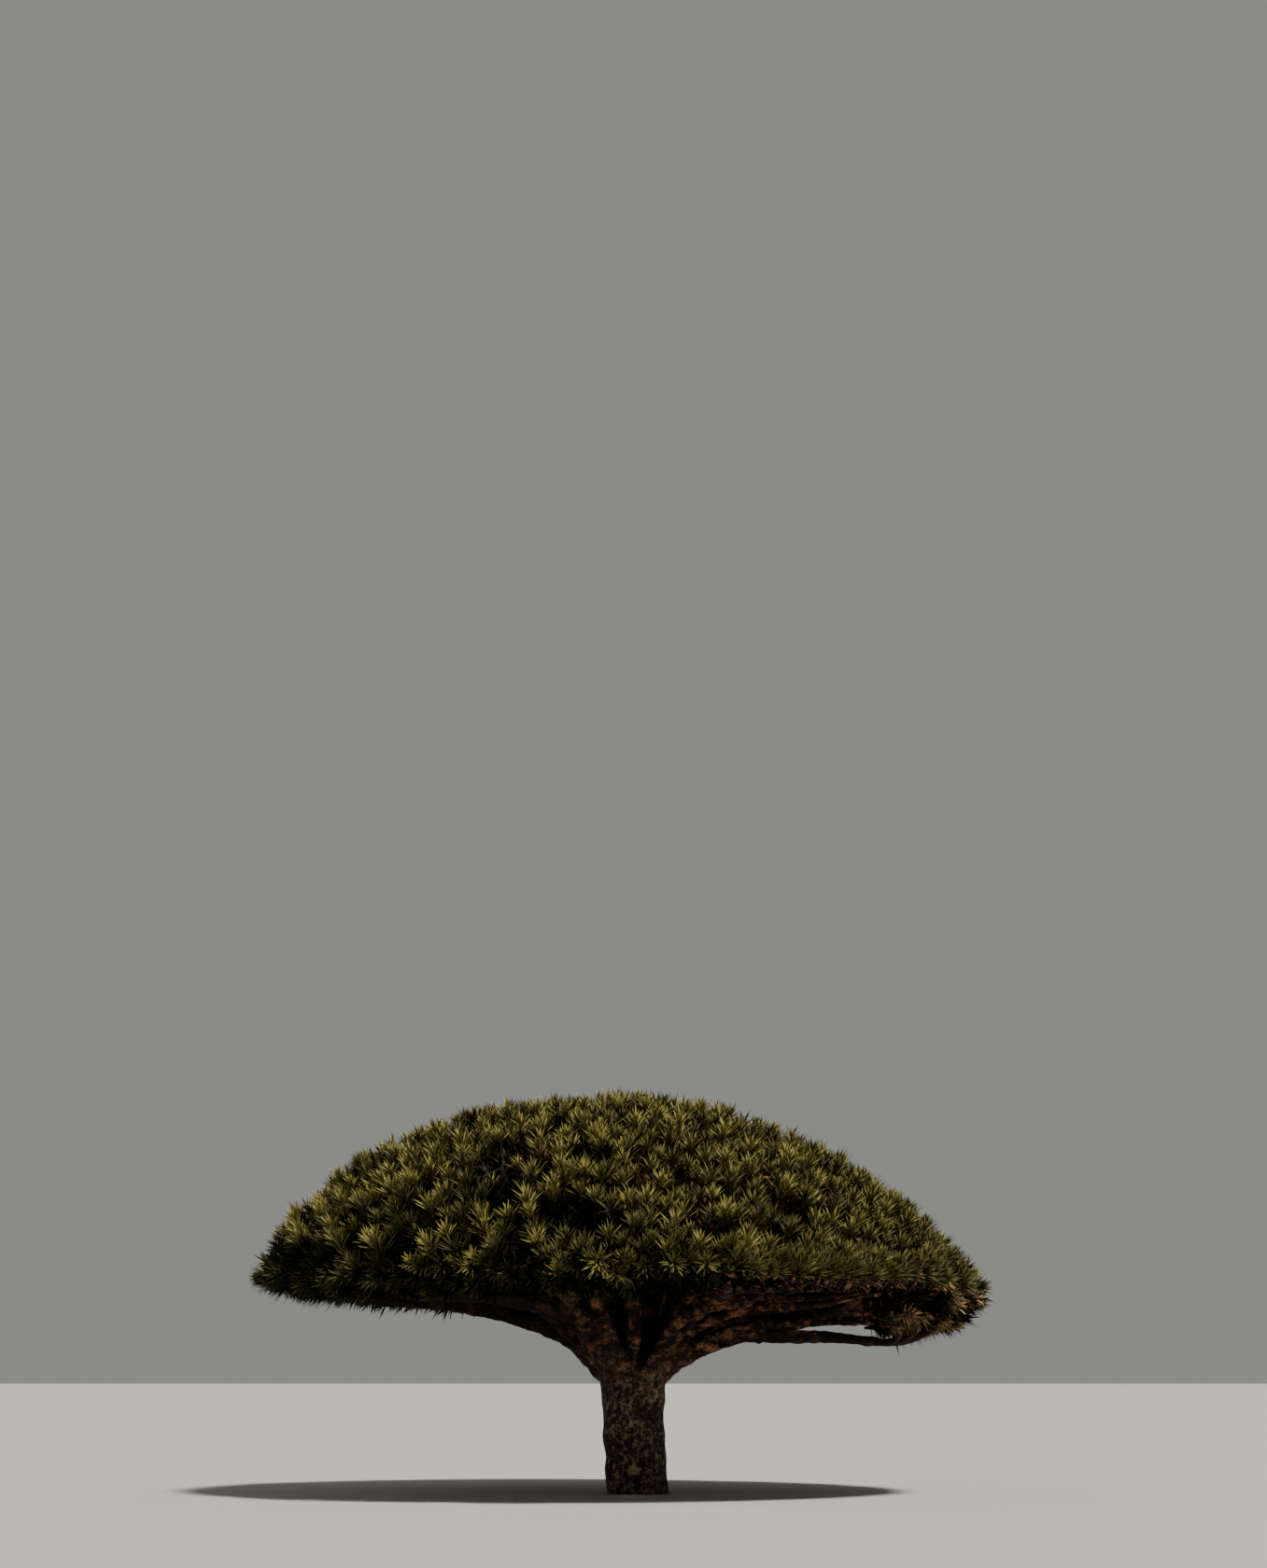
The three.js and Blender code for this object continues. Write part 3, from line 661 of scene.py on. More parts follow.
def bough_line(azimuth, tip_level, swing, droop):
    """Steep at the fork and nearly level at the tip."""

    def line(t):
        reach = BOUGH_TIP_REACH * t
        full_rise = 1 - math.exp(-BOUGH_TIP_REACH / BOUGH_BEND)
        rise = (1 - math.exp(-reach / BOUGH_BEND)) / full_rise
        past_fork = (t / FORK_SHARE - SWING_LEAD) / (1 / FORK_SHARE - SWING_LEAD)
        turn = azimuth + swing * smooth(past_fork)
        return Vector((
            TRUNK_LEAN * (1 - t) + reach * math.cos(turn),
            reach * math.sin(turn),
            FORK_LEVEL + (tip_level - FORK_LEVEL) * rise - droop * t,
        ))

    return line


def fork_arm(heading, tip_level, parent):
    start = parent.point(FORK_SHARE)
    tip = level(heading) * ARM_REACH
    tip.z = tip_level + ARM_RISE
    bend = start.lerp(tip, 0.5) + level(heading + math.pi / 2) * ARM_BOW
    bend.z += ARM_LIFT
    return Limb(bezier(start, bend, tip), ARM_RADIUS, BOUGH_TIP_RADIUS, parent=parent)


def low_limbs():
    """The low boughs, each with the second arm of its fork."""
    limbs = []
    for shape in LOW_BOUGHS:
        heading = shape["azimuth"] * DEGREE
        swing = shape.get("swing", -FORK_SWING)
        line = bough_line(heading, shape["tip_level"], swing, shape.get("droop", 0.0))
        root_radius = BOUGH_ROOT_RADIUS * shape.get("slender", 1.0)
        bough = Limb(line, root_radius, BOUGH_TIP_RADIUS, BOUGH_START)
        bough.drooping = "droop" in shape
        arm_heading = heading + shape.get("arm_turn", FORK_SWING)
        limbs += [bough, fork_arm(arm_heading, shape["tip_level"], bough)]
    return limbs


def ring_boughs(ring):
    boughs = []
    foot = Vector((TRUNK_LEAN, 0.0, FORK_LEVEL))
    for azimuth in ring["azimuths"]:
        heading = azimuth * DEGREE
        bend = foot + level(heading) * (ring["reach"] * ring["bow"])
        bend.z = (FORK_LEVEL + ring["level"]) / 2
        tip = foot + level(heading) * ring["reach"]
        tip.z = ring["level"]
        boughs.append(Limb(bezier(foot, bend, tip), ring["radius"], BOUGH_TIP_RADIUS, RISING_START))
    return boughs


def rib(parent):
    heading = parent.heading() + RIB_TURN
    start = parent.point(RIB_ARM_SHARE if parent.parent else RIB_SHARE)
    tip = crown_point(heading, RIB_TIP_POLAR, RIB_TIP_INSET)
    bend = start.lerp(tip, 0.5) + level(heading) * RIB_BOW
    bend.z -= RIB_SAG
    return Limb(bezier(start, bend, tip), RIB_RADIUS, RIB_TIP_RADIUS, parent=parent)


def turned_up(line, reach, upturn):
    """The line drawn out to the reach, with its end bent up."""

    def bent(t):
        return line(t * reach) + UP * (upturn * smooth((t - 1 + UPTURN_SHARE) / UPTURN_SHARE))

    return bent


def side_ribs():
    """Long ribs that fill the underside's right and back, each raised until it leaves the windows free."""
    ribs = []
    for azimuth, tip_level in SIDE_RIBS:
        upturn = RIB_UPTURN * (1 - low_lobe(azimuth * DEGREE))
        for lift in range(SIDE_RIB_TRIES):
            line = bough_line(azimuth * DEGREE, tip_level + SIDE_RIB_LIFT * lift, 0.0, SIDE_RIB_DROOP)
            limb = Limb(turned_up(line, SIDE_RIB_REACH, upturn), *SIDE_RIB_RADII, SIDE_RIB_START)
            if leaves_windows_free(limb):
                ribs.append(limb)
                break
    return ribs


def wood_limbs():
    """The solids' limbs, and the flank boughs and side ribs that come out of the fork between them."""
    low = low_limbs()
    rising = [bough for ring in RISING_RINGS for bough in ring_boughs(ring)]
    ribs = [rib(limb) for limb in low if not limb.drooping]
    return low + rising + side_ribs() + ribs


def leaves_windows_free(limb):
    places = [i / LIMB_SAMPLES for i in range(LIMB_SAMPLES + 1)]
    return all(gap_to_window(limb.point(t)) > limb.radius(t) + WINDOW_GAP for t in places)


def line_from(parent, share, tip):
    """A line that leaves the parent along it and bends to the tip."""
    start = parent.point(share)
    bend = start + parent.tangent(share) * (FAN_FLATNESS * (tip - start).length)
    return bezier(start, bend, tip)


def lobe_branches():
    """The low bough's end forks into the hanging lobe."""
    parent = next(limb for limb in low_limbs() if limb.drooping)
    branches = []
    for share, azimuth, reach, tip_level in LOBE_BRANCHES:
        tip = level(azimuth * DEGREE) * reach
        tip.z = tip_level
        branches.append(Limb(line_from(parent, share, tip), *LOBE_BRANCH_RADII, parent=parent))
    return branches


def fan_limb(parent, fork, share, side, number):
    """A limb that leaves its parent along it and swings out to one side, clear of the windows of sky."""
    heading = parent.heading() + side * fork["turn"] * DEGREE
    tip = level(heading) * fork["reach"]
    tip.z = parent.point(1).z + fork["lift"] + FAN_LEVEL_SPREAD * math.sin(FAN_LEVEL_WAVE * number)
    tip.z = max(tip.z - FAN_LOBE_DROP * low_lobe(heading), parent.point(share).z - FAN_MOST_FALL)
    radius = min(fork["radius"], FAN_PARENT_SHARE * parent.radius(share))
    for _ in range(FAN_TRIES):
        line = turned_up(line_from(parent, share, tip), 1.0, FAN_UPTURN)
        limb = Limb(line, radius, FAN_TIP_RADIUS, parent=parent)
        if leaves_windows_free(limb):
            return limb
        tip.z += FAN_LIFT
    return None


def fan_limbs():
    """The low limbs fork again and again on their way to the rim, as an umbrella's ribs."""
    fan = []
    parents = [limb for limb in low_limbs() if not limb.drooping]
    for fork in FAN_FORKS:
        young = []
        for parent in parents:
            share = fork["shares"][1 if parent.parent else 0]
            for side in fork["sides"]:
                number = len(fan) + len(young)
                turn = side if len(fork["sides"]) > 1 else side * (-1) ** number
                limb = fan_limb(parent, fork, share + FAN_SIDE_SHIFT * (side < 0), turn, number)
                if limb:
                    young.append(limb)
        fan += young
        if fork["lift"] < FAN_LEVEL_SPREAD and len(young) > len(parents):
            parents = parents + young
    return fan + lobe_branches()


def tube_faces(rings, sides):
    """The faces of a closed tube whose vertices stand in rings."""
    faces = []
    for i in range(rings - 1):
        for k in range(sides):
            a = i * sides + k
            b = i * sides + (k + 1) % sides
            faces.append((a, b, b + sides, a + sides))
    faces.append(tuple(reversed(range(sides))))
    faces.append(tuple(range((rings - 1) * sides, rings * sides)))
    return faces


def tube_vertices(places, radii):
    """Rings round the places, with a radius that wanders a little."""
    vertices = []
    across = None
    for i, (place, radius) in enumerate(zip(places, radii)):
        ahead = places[min(i + 1, len(places) - 1)] - places[max(i - 1, 0)]
        along = ahead.normalized()
        if across is None:
            across = along.orthogonal()
        across = (across - along * across.dot(along)).normalized()
        third = along.cross(across)
        for k in range(LIMB_SIDES):
            turn = FULL_TURN * k / LIMB_SIDES
            out = across * math.cos(turn) + third * math.sin(turn)
            lumps = place * RADIUS_WANDER_SCALES[0] + out * RADIUS_WANDER_SCALES[1]
            swell = 1 + RADIUS_WANDER * noise.noise(lumps)
            vertices.append(place + out * (radius * swell))
    return vertices


def limb_tube(limb):
    places = []
    radii = []
    for i in range(LIMB_STEPS + 1):
        t = limb.start + (1 - limb.start) * i / LIMB_STEPS
        wander = AXIS_WANDER * limb.radius(t) * smooth(WANDER_EASE * t) * smooth(WANDER_EASE * (1 - t))
        place = limb.point(t)
        places.append(place + noise.noise_vector(place * AXIS_WANDER_SCALE + AXIS_WANDER_PLACE) * wander)
        at_fork = SWELL_AT_FORK * smooth((SWELL_SHARE - t) / SWELL_SHARE) if limb.parent is None else 0.0
        radii.append(limb.radius(t) * (1 + at_fork))
    return tube_vertices(places, radii), tube_faces(LIMB_STEPS + 1, LIMB_SIDES)


def trunk_radius(turn, height):
    """The radius with root flare, collar and flutes, which closes to the middle of the fork."""
    lobes = 1 + FLARE_LOBE_DEPTH * math.cos(FLARE_LOBES * turn)
    flare = ROOT_FLARE * math.exp(-height / FLARE_HEIGHT) * lobes
    collar = COLLAR_FLARE * smooth((height - COLLAR_START) / (COLLAR_LEVEL - COLLAR_START))
    closing = smooth((height - COLLAR_LEVEL) / (TRUNK_TOP - COLLAR_LEVEL))
    crest = (TRUNK_RADIUS + COLLAR_FLARE - TRUNK_TOP_RADIUS) * closing
    flutes = sum(
        depth * math.cos(count * turn + first + twist * height) for depth, count, first, twist in FLUTES)
    return TRUNK_RADIUS + flare + collar - crest + flutes


def trunk_tube():
    """The bole, with its lean, from the ground to the middle of the fork."""
    vertices = []
    for i in range(TRUNK_STEPS + 1):
        height = TRUNK_TOP * i / TRUNK_STEPS
        axis = TRUNK_LEAN * smooth(height / COLLAR_LEVEL)
        for k in range(TRUNK_SIDES):
            turn = FULL_TURN * k / TRUNK_SIDES
            radius = trunk_radius(turn, height)
            vertices.append(Vector((axis + radius * math.cos(turn), radius * math.sin(turn), height)))
    return vertices, tube_faces(TRUNK_STEPS + 1, TRUNK_SIDES)


def new_object(name, vertices, edges=(), faces=()):
    mesh = bpy.data.meshes.new(name)
    mesh.from_pydata([tuple(v) for v in vertices], list(edges), list(faces))
    mesh.update()
    piece = bpy.data.objects.new(name, mesh)
    bpy.context.scene.collection.objects.link(piece)
    return piece


def bake_modifiers(piece):
    """Makes the modifiers' result the piece's plain mesh."""
    depsgraph = bpy.context.evaluated_depsgraph_get()
    mesh = bpy.data.meshes.new_from_object(piece.evaluated_get(depsgraph), depsgraph=depsgraph)
    piece.modifiers.clear()
    piece.vertex_groups.clear()
    old = piece.data
    piece.data = mesh
    bpy.data.meshes.remove(old)


def nodes_named(*prefixes):
    return [name for name in frame["nodes"] if name.startswith(prefixes)]


def finish_piece(piece, replaced):
    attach(piece, BODY)
    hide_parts(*replaced)


def new_material(name):
    material = bpy.data.materials.new(name)
    material.use_nodes = True
    material.node_tree.nodes.clear()
    return material, NodeMaker(material.node_tree)


def put_surface(maker, colour, roughness, gloss, **more):
    inputs = {"Base Color": colour, "Roughness": roughness, "Specular IOR Level": gloss, **more}
    maker.node("ShaderNodeOutputMaterial", {"Surface": maker.node("ShaderNodeBsdfPrincipled", inputs)})


def groove_place(x, z):
    """How far up the groove a place lies, and how far to the side in half widths. Wires go in, too."""
    share = (z - GROOVE_FOOT[1]) / (GROOVE_HEAD[1] - GROOVE_FOOT[1])
    middle = GROOVE_FOOT[0] + (GROOVE_HEAD[0] - GROOVE_FOOT[0]) * share
    return share, abs(x - middle) / between(GROOVE_HALF_WIDTH, share)


def groove_shade(maker, across, wander):
    """1 in the groove of the fork's front, which leans to the right as it rises, and 0 outside it."""
    share, beside = groove_place(across, across.output("Z"))
    in_front = 1 - maker.ramp(across.output("Y"), *GROOVE_SHADE_BACK)
    along = maker.ramp(share, *GROOVE_SHADE_FOOT) * (1 - maker.ramp(share, *GROOVE_SHADE_HEAD))
    return (1 - maker.ramp(beside + wander, *GROOVE_SHADE_SIDE)) * in_front * along


def worn_flakes(maker, place, mottle, flaking):
    """1 where the bark has flaked off, here and there and on the worn places."""
    flaked = maker.ramp(flaking, *FLAKES)
    for centre, radius in WORN_PLACES:
        away = maker.node("ShaderNodeVectorMath", {0: place, 1: centre}, "Value", operation="DISTANCE")
        away = away + 0.25 * (mottle - 0.5) + 0.5 * (flaking - 0.5)
        flaked = maker.math("MAXIMUM", flaked, 1 - maker.ramp(away, WORN_CORE * radius, radius))
    return flaked


def bark_shade(maker, across, on_boughs, mottle):
    """The deep shade on the left boughs, under the low bough and in the fork's groove."""
    under = 1 - maker.ramp(across.output("Z") + 0.3 * (mottle - 0.5), *LOW_BOUGH_LEVELS)
    on_low_bough = maker.ramp(across, *LOW_BOUGH_ACROSS) * under
    on_left_boughs = on_boughs * (1 - maker.ramp(across, *LEFT_BOUGHS_ACROSS))
    in_shade = maker.math("MAXIMUM", on_left_boughs * LEFT_SHADE, on_low_bough * LOW_SHADE)
    return maker.math("MAXIMUM", in_shade, groove_shade(maker, across, mottle - 0.5))


def bark_material(name, settings):
    """Dark bark: speckled, flaking and furrowed on the trunk, very dark with red streaks on the boughs.

    The boughs' very dark tone is partly the bark's colour and partly painted shade under the crown,
    and painted shade darkens the creases, the left boughs, the low bough's underside and the fork's groove.
    """
    material, maker = new_material(name)
    place = maker.node("ShaderNodeTexCoord", output="Object")
    across = maker.split(place)
    noises = {name: maker.noise(place, *values) for name, values in BARK_NOISES.items()}
    broad, mottle, speckle, furrows, streaks, flaking = noises.values()
    on_boughs = maker.ramp(across.output("Z") + broad - 0.5, *BOUGH_BARK_LEVELS)
    speckled = maker.ramp(mottle * 0.65 + speckle * 0.35, *TRUNK_SPECKLES)
    streaked = maker.ramp(streaks * 0.75 + speckle * 0.25, *BOUGH_STREAKS)
    trunk_tone = maker.mix(speckled, settings.dark, settings.brown)
    # The boughs: very dark bark, partly painted shade under the crown, with red streaks
    base = maker.mix(on_boughs, trunk_tone, maker.mix(streaked, settings.black_and_shade, settings.red))
    flaked = worn_flakes(maker, place, mottle, flaking)
    paler = flaked * (1 - 0.8 * on_boughs) * maker.ramp(mottle, *FLAKE_MOTTLES)
    base = maker.mix(paler, base, settings.tan)
    # Painted shade in the creases
    crease = 1 - maker.ramp(furrows + 0.3 * (speckle - 0.5), *CREASES)
    base = maker.mix(crease * CREASE_PAINTED_SHADE, base, settings.black_and_shade)
    base = maker.mix(bark_shade(maker, across, on_boughs, mottle), base, settings.black_and_shade)
    relief = furrows * 0.6 + mottle * 0.5 + speckle * 0.25 - flaked * 0.2 - crease * 0.3
    bump = maker.node("ShaderNodeBump", {"Strength": 1.0, "Distance": BUMP_HEIGHT, "Height": relief})
    put_surface(maker, base, BARK_ROUGHNESS + 0.2 * furrows, BARK_GLOSS, Normal=bump)
    return material


def leaf_material(name, colour, gloss):
    """Stiff waxy leaves: one plain colour, a little uneven, darker at the foot and paler at the tip, partly
    the leaf's own tone and partly painted shade at the foot and painted light at the tip.
    """
    material, maker = new_material(name)
    place = maker.node("ShaderNodeTexCoord", output="Object")
    along = maker.node("ShaderNodeAttribute", output="Fac", attribute_name="along")
    patchy = maker.noise(place, *LEAF_PATCHES)
    # Painted shade at the foot and painted light at the tip, mixed with the leaf's own tones
    dark = [FOOT_TONE_AND_SHADE * part for part in colour]
    pale = [min(1.0, TIP_TONE_AND_LIGHT * part) for part in colour]
    base = maker.mix(maker.ramp(along * 0.8 + patchy * 0.5, *FOOT_EDGE), dark, colour)
    base = maker.mix(maker.ramp(along + 0.5 * patchy, *TIP_EDGE), base, pale)
    put_surface(maker, base, LEAF_ROUGHNESS + 0.2 * patchy, gloss)
    return material


def floor_material(colour):
    material, maker = new_material("pale_floor")
    put_surface(maker, (*colour, 1.0), FLOOR_ROUGHNESS, 0.1)
    return material


def geometry_tree(name, sockets):
    """A Geometry Nodes tree with its named inputs: the tree, its maker and a wire for each input."""
    tree = bpy.data.node_groups.new(name, "GeometryNodeTree")
    tree.interface.new_socket(name="Geometry", in_out="OUTPUT", socket_type="NodeSocketGeometry")
    for socket_name, kind in {"Geometry": "Geometry", **sockets, "Material": "Material"}.items():
        tree.interface.new_socket(name=socket_name, in_out="INPUT", socket_type="NodeSocket" + kind)
    maker = NodeMaker(tree)
    group_input = tree.nodes.new("NodeGroupInput")
    wires = {socket.name: Wire(maker, socket) for socket in group_input.outputs if socket.name}
    return tree, maker, wires


def put_modifier(piece, tree, values):
    """Hangs the tree on the piece, with its inputs set by their identifiers."""
    modifier = piece.modifiers.new(tree.name, "NODES")
    modifier.node_group = tree
    for item in tree.interface.items_tree:
        if item.in_out == "INPUT" and item.name in values:
            modifier[item.identifier] = values[item.name]


def put_attribute(piece, name, kind, field, values):
    attribute = piece.data.attributes.new(name, kind, "POINT")
    attribute.data.foreach_set(field, np.array(values, dtype=np.float32).ravel())


def end_tree(maker, geometry, material, is_smooth):
    geometry = maker.node("GeometryNodeRealizeInstances", {"Geometry": geometry})
    geometry = maker.node("GeometryNodeSetShadeSmooth", {"Geometry": geometry, "Shade Smooth": is_smooth})
    geometry = maker.node("GeometryNodeSetMaterial", {"Geometry": geometry, "Material": material})
    maker.node("NodeGroupOutput", {"Geometry": geometry})


def read_attribute(maker, name, kind="FLOAT"):
    return maker.node("GeometryNodeInputNamedAttribute", {"Name": name}, data_type=kind)


def branch_tree():
    """Tubes along every line of the mesh, as thick as its thickness attribute says."""
    tree, maker, wires = geometry_tree("branch_tubes", {"Sides": "Int", "Steps": "Int"})
    lines = maker.node("GeometryNodeMeshToCurve", {"Mesh": wires["Geometry"]})
    lines = maker.node("GeometryNodeCurveSplineType", {"Curve": lines}, spline_type="CATMULL_ROM")
    lines = maker.node("GeometryNodeSetSplineResolution", {"Geometry": lines, "Resolution": wires["Steps"]})
    profile = maker.node(
        "GeometryNodeCurvePrimitiveCircle", {"Resolution": wires["Sides"], "Radius": 1.0}, mode="RADIUS")
    tubes = maker.node("GeometryNodeCurveToMesh", {
        "Curve": lines, "Profile Curve": profile, "Scale": read_attribute(maker, "thickness"),
        "Fill Caps": True})
    end_tree(maker, tubes, wires["Material"], True)
    return tree


def sword_leaf(maker, wires):
    """A folded blade that arches out towards its tip, widest past the middle and pointed."""
    size = {"Size X": 1.0, "Size Y": 1.0, "Vertices X": 3, "Vertices Y": 3}
    grid = maker.node("GeometryNodeMeshGrid", size, "Mesh")
    side = maker.split(maker.node("GeometryNodeInputPosition"))
    along = side.output("Y") + 0.5
    stored = {"Geometry": grid, "Name": "along", "Value": along}
    grid = maker.node("GeometryNodeStoreNamedAttribute", stored, data_type="FLOAT", domain="POINT")
    share = maker.math("MINIMUM", BLADE_FOOT + BLADE_GROWTH * along, BLADE_TAPER * (1 - along))
    width = wires["Width"] * share
    out = wires["Arch"] * wires["Length"] * along * along - wires["Fold"] * width * abs(side)
    shape = maker.node("ShaderNodeCombineXYZ", {"X": out, "Y": side * width, "Z": along * wires["Length"]})
    blade = maker.node("GeometryNodeSetPosition", {"Geometry": grid, "Position": shape})
    return maker.node("GeometryNodeMergeByDistance", {"Geometry": blade, "Distance": 0.0005})


def rosette_tree():
    """On every point a tuft of sword leaves round the point's axis, turned by the golden angle."""
    lengths = dict.fromkeys(("Length", "Width", "Fold", "Arch", "Inner Tilt", "Outer Tilt"), "Float")
    tree, maker, wires = geometry_tree("leaf_rosettes", {"Leaves": "Int", **lengths, "Seed": "Int"})

    def random(low, high, offset):
        inputs = {"Min_001": low, "Max_001": high, "Seed": wires["Seed"] + offset}
        return maker.node("FunctionNodeRandomValue", inputs, "Value_001", data_type="FLOAT")

    points = maker.node("GeometryNodeMeshToPoints", {"Mesh": wires["Geometry"]})
    copied = {"Geometry": points, "Amount": wires["Leaves"]}
    leaves = maker.node("GeometryNodeDuplicateElements", copied, "Geometry", domain="POINT")
    number = leaves.output("Duplicate Index")
    share = (number + 0.5) / wires["Leaves"]
    axis = read_attribute(maker, "axis", "FLOAT_VECTOR")
    size = read_attribute(maker, "size")
    inner = maker.math("COSINE", wires["Inner Tilt"])
    outer = maker.math("COSINE", wires["Outer Tilt"])
    tilt = maker.math("ARCCOSINE", inner + (outer - inner) * share) + random(-TILT_WANDER, TILT_WANDER, 1)
    spin = read_attribute(maker, "spin")
    turn = number * GOLDEN_ANGLE + spin + random(-TURN_WANDER, TURN_WANDER, 2)
    roll = random(-ROLL_WANDER, ROLL_WANDER, 3)
    euler = maker.node("ShaderNodeCombineXYZ", {"X": roll, "Y": tilt, "Z": turn})
    upright = maker.node("FunctionNodeAlignRotationToVector", {"Vector": axis}, axis="Z")
    turned = {"Rotation": upright, "Rotate By": maker.node("FunctionNodeEulerToRotation", {"Euler": euler})}
    rotation = maker.node("FunctionNodeRotateRotation", turned, rotation_space="LOCAL")
    scale = size * random(*LEAF_SIZES, 4) * (INNERMOST_SIZE + (1 - INNERMOST_SIZE) * share)
    lift = {"Vector": axis, "Scale": (LEAF_START - LEAF_START_DROP * share) * size}
    offset = maker.node("ShaderNodeVectorMath", lift, operation="SCALE")
    leaves = maker.node("GeometryNodeSetPosition", {"Geometry": leaves, "Offset": offset})
    tufts = maker.node("GeometryNodeInstanceOnPoints", {
        "Points": leaves, "Instance": sword_leaf(maker, wires), "Rotation": rotation, "Scale": scale})
    end_tree(maker, tufts, wires["Material"], False)
    return tree


def gap_to_window(place):
    """How far from the nearer window under the crown the camera sees the place, on the plane y = 0."""
    shrink = -CAMERA_PLACE.y / (place.y - CAMERA_PLACE.y)
    across = CAMERA_PLACE.x + (place.x - CAMERA_PLACE.x) * shrink
    height = CAMERA_PLACE.z + (place.z - CAMERA_PLACE.z) * shrink
    gaps = []
    for low, high in WINDOWS:
        sideways = max(low[0] - across, across - high[0], 0.0)
        upwards = max(low[1] - height, height - high[1], 0.0)
        gaps.append(math.hypot(sideways, upwards))
    return min(gaps)


class Tuft:
    """One tuft: where its leaves start, the way it points and its size."""

    def __init__(self, azimuth, polar, depth, size, spin, settings):
        facing = outline_angle(azimuth, polar)
        at_rim = smooth((facing - RIM_FACING) / RIM_FACING_EDGE)
        lean = min(facing * between((LEAN_SHARE, RIM_LEAN_SHARE), at_rim), MOST_LEAN)
        self.azimuth = azimuth
        self.polar = polar
        self.size = size
        self.spin = spin
        self.axis = level(azimuth) * math.sin(lean) + UP * math.cos(lean)
        outwards = level(azimuth) * math.sin(facing) + UP * math.cos(facing)
        off_fan = max(0.0, facing - lean - settings.outer_tilt)
        self.tip = crown_point(azimuth, polar, depth)
        inset = ROOT_SHARE * settings.length * size * math.cos(off_fan)
        if polar > UNDERSIDE_POLAR:
            inset *= UNDERSIDE_ROOT_SHARE
        self.root = self.tip - outwards * inset

    def kinds(self):
        """The kinds by place: dry leaves and painted shade at the low lobe, painted shade at the left end and
        the underside, and fewer leaves of the painted sunlit tone and more deep green ones, partly painted
        shade, to the right and at the rim."""
        if self.polar > LOBE_KINDS_POLAR and low_lobe(self.azimuth) > LOBE_KINDS_SHARE:
            return LOBE_KINDS
        if self.polar > UNDERSIDE_POLAR:
            return UNDERSIDE_KINDS
        if DARK_END[0] < self.azimuth < DARK_END[1] and self.polar > DARK_END_POLAR:
            return DARK_KINDS
        rim = smooth((self.polar - RIM_POLARS[0]) / RIM_POLARS[1])
        to_right = math.cos(self.azimuth - RIGHT_AZIMUTH) * math.sin(self.polar)
        sunlit = SUNLIT_SHARES[0] - SUNLIT_SHARES[1] * to_right - SUNLIT_SHARES[2] * rim
        deep = DEEP_SHARES[0] + DEEP_SHARES[1] * max(0.0, to_right) ** 2 + DEEP_SHARES[2] * rim
        return (("sunlit", sunlit), ("deep", sunlit + deep), *OTHER_KINDS)


def outline_areas():
    """The crown's area above each of a row of polar angles."""
    areas = [0.0]
    sideways = math.pi / 2
    for i in range(1, AREA_STEPS + 1):
        upper = crown_point(sideways, LAST_TUFT_POLAR * (i - 1) / AREA_STEPS, AREA_INSET)
        lower = crown_point(sideways, LAST_TUFT_POLAR * i / AREA_STEPS, AREA_INSET)
        areas.append(areas[-1] + (upper - lower).length * (upper.y + lower.y))
    return areas


class Spreader:
    """Makes tufts with sizes, depths and kinds drawn from one seed, and leaves out those in a hollow."""

    def __init__(self, settings, depths, sizes, seed, clear):
        self.settings = settings
        self.depths = depths
        self.sizes = sizes
        self.generator = np.random.default_rng(seed)
        self.clear = clear
        self.hollows = [
            (crown_point(a * DEGREE, p * DEGREE, HOLLOW_INSET), radius) for a, p, radius in HOLLOWS]
        self.tufts = []

    def add(self, azimuth, polar):
        draw = self.generator.uniform
        azimuth = azimuth % FULL_TURN
        polar = max(polar + draw(-POLAR_WANDER, POLAR_WANDER), 0.01)
        at_bare_front = BARE_FRONT[0] < azimuth < BARE_FRONT[1]
        if at_bare_front and polar > BARE_FRONT_POLARS[1]:
            polar = draw(*BARE_FRONT_POLARS)
        depth = between(self.depths, draw() ** DEPTH_POWER)
        tuft = Tuft(azimuth, polar, depth, draw(*self.sizes), draw(0, SPIN_RANGE), self.settings)
        chance = draw()
        in_hollow = depth < HOLLOW_DEPTH and any(
            (tuft.tip - middle).length < radius for middle, radius in self.hollows)
        too_low = at_bare_front and tuft.tip.z < BARE_FRONT_LEVEL
        near_window = gap_to_window(tuft.root + tuft.axis * TUFT_MIDDLE) < self.clear
        if not (in_hollow or too_low or near_window):
            self.tufts.append((tuft, next(kind for kind, limit in tuft.kinds() if chance < limit)))

    def cover_crown(self, count):
        """Equal areas from the top down, and the golden angle round the crown."""
        areas = outline_areas()
        polars = np.linspace(0, LAST_TUFT_POLAR, AREA_STEPS + 1)
        for k in range(count):
            polar = float(np.interp((k + 0.5) / count * areas[-1], areas, polars))
            wander = self.generator.uniform(-1, 1) / math.sqrt(k + 1)
            self.add(k * GOLDEN_ANGLE + wander, polar)

    def cover_low_lobe(self, count):
        """The same for the lobe that hangs at the lower right, which the even spread leaves thin."""
        for k in range(count):
            across = 2 * (k * GOLDEN_ANGLE / FULL_TURN % 1) - 1
            polar = LOBE_POLARS[0] + (LOBE_POLARS[1] - LOBE_POLARS[0]) * (k + 0.5) / count
            self.add(LOW_LOBE_AZIMUTH + LOBE_HALF_WIDTH * across, polar)


def all_tufts(settings):
    """The outer tufts with their kinds, and the shaded ones behind them."""
    outer, lobe, inner, inner_lobe = (Spreader(settings, **group) for group in TUFT_GROUPS.values())
    outer.cover_crown(settings.tufts)
    lobe.cover_low_lobe(settings.lobe_tufts)
    inner.cover_crown(settings.inner_tufts)
    inner_lobe.cover_low_lobe(settings.lobe_tufts // 2)
    shaded = [(tuft, "inner") for tuft, _ in inner.tufts + inner_lobe.tufts]
    return outer.tufts + lobe.tufts + shaded


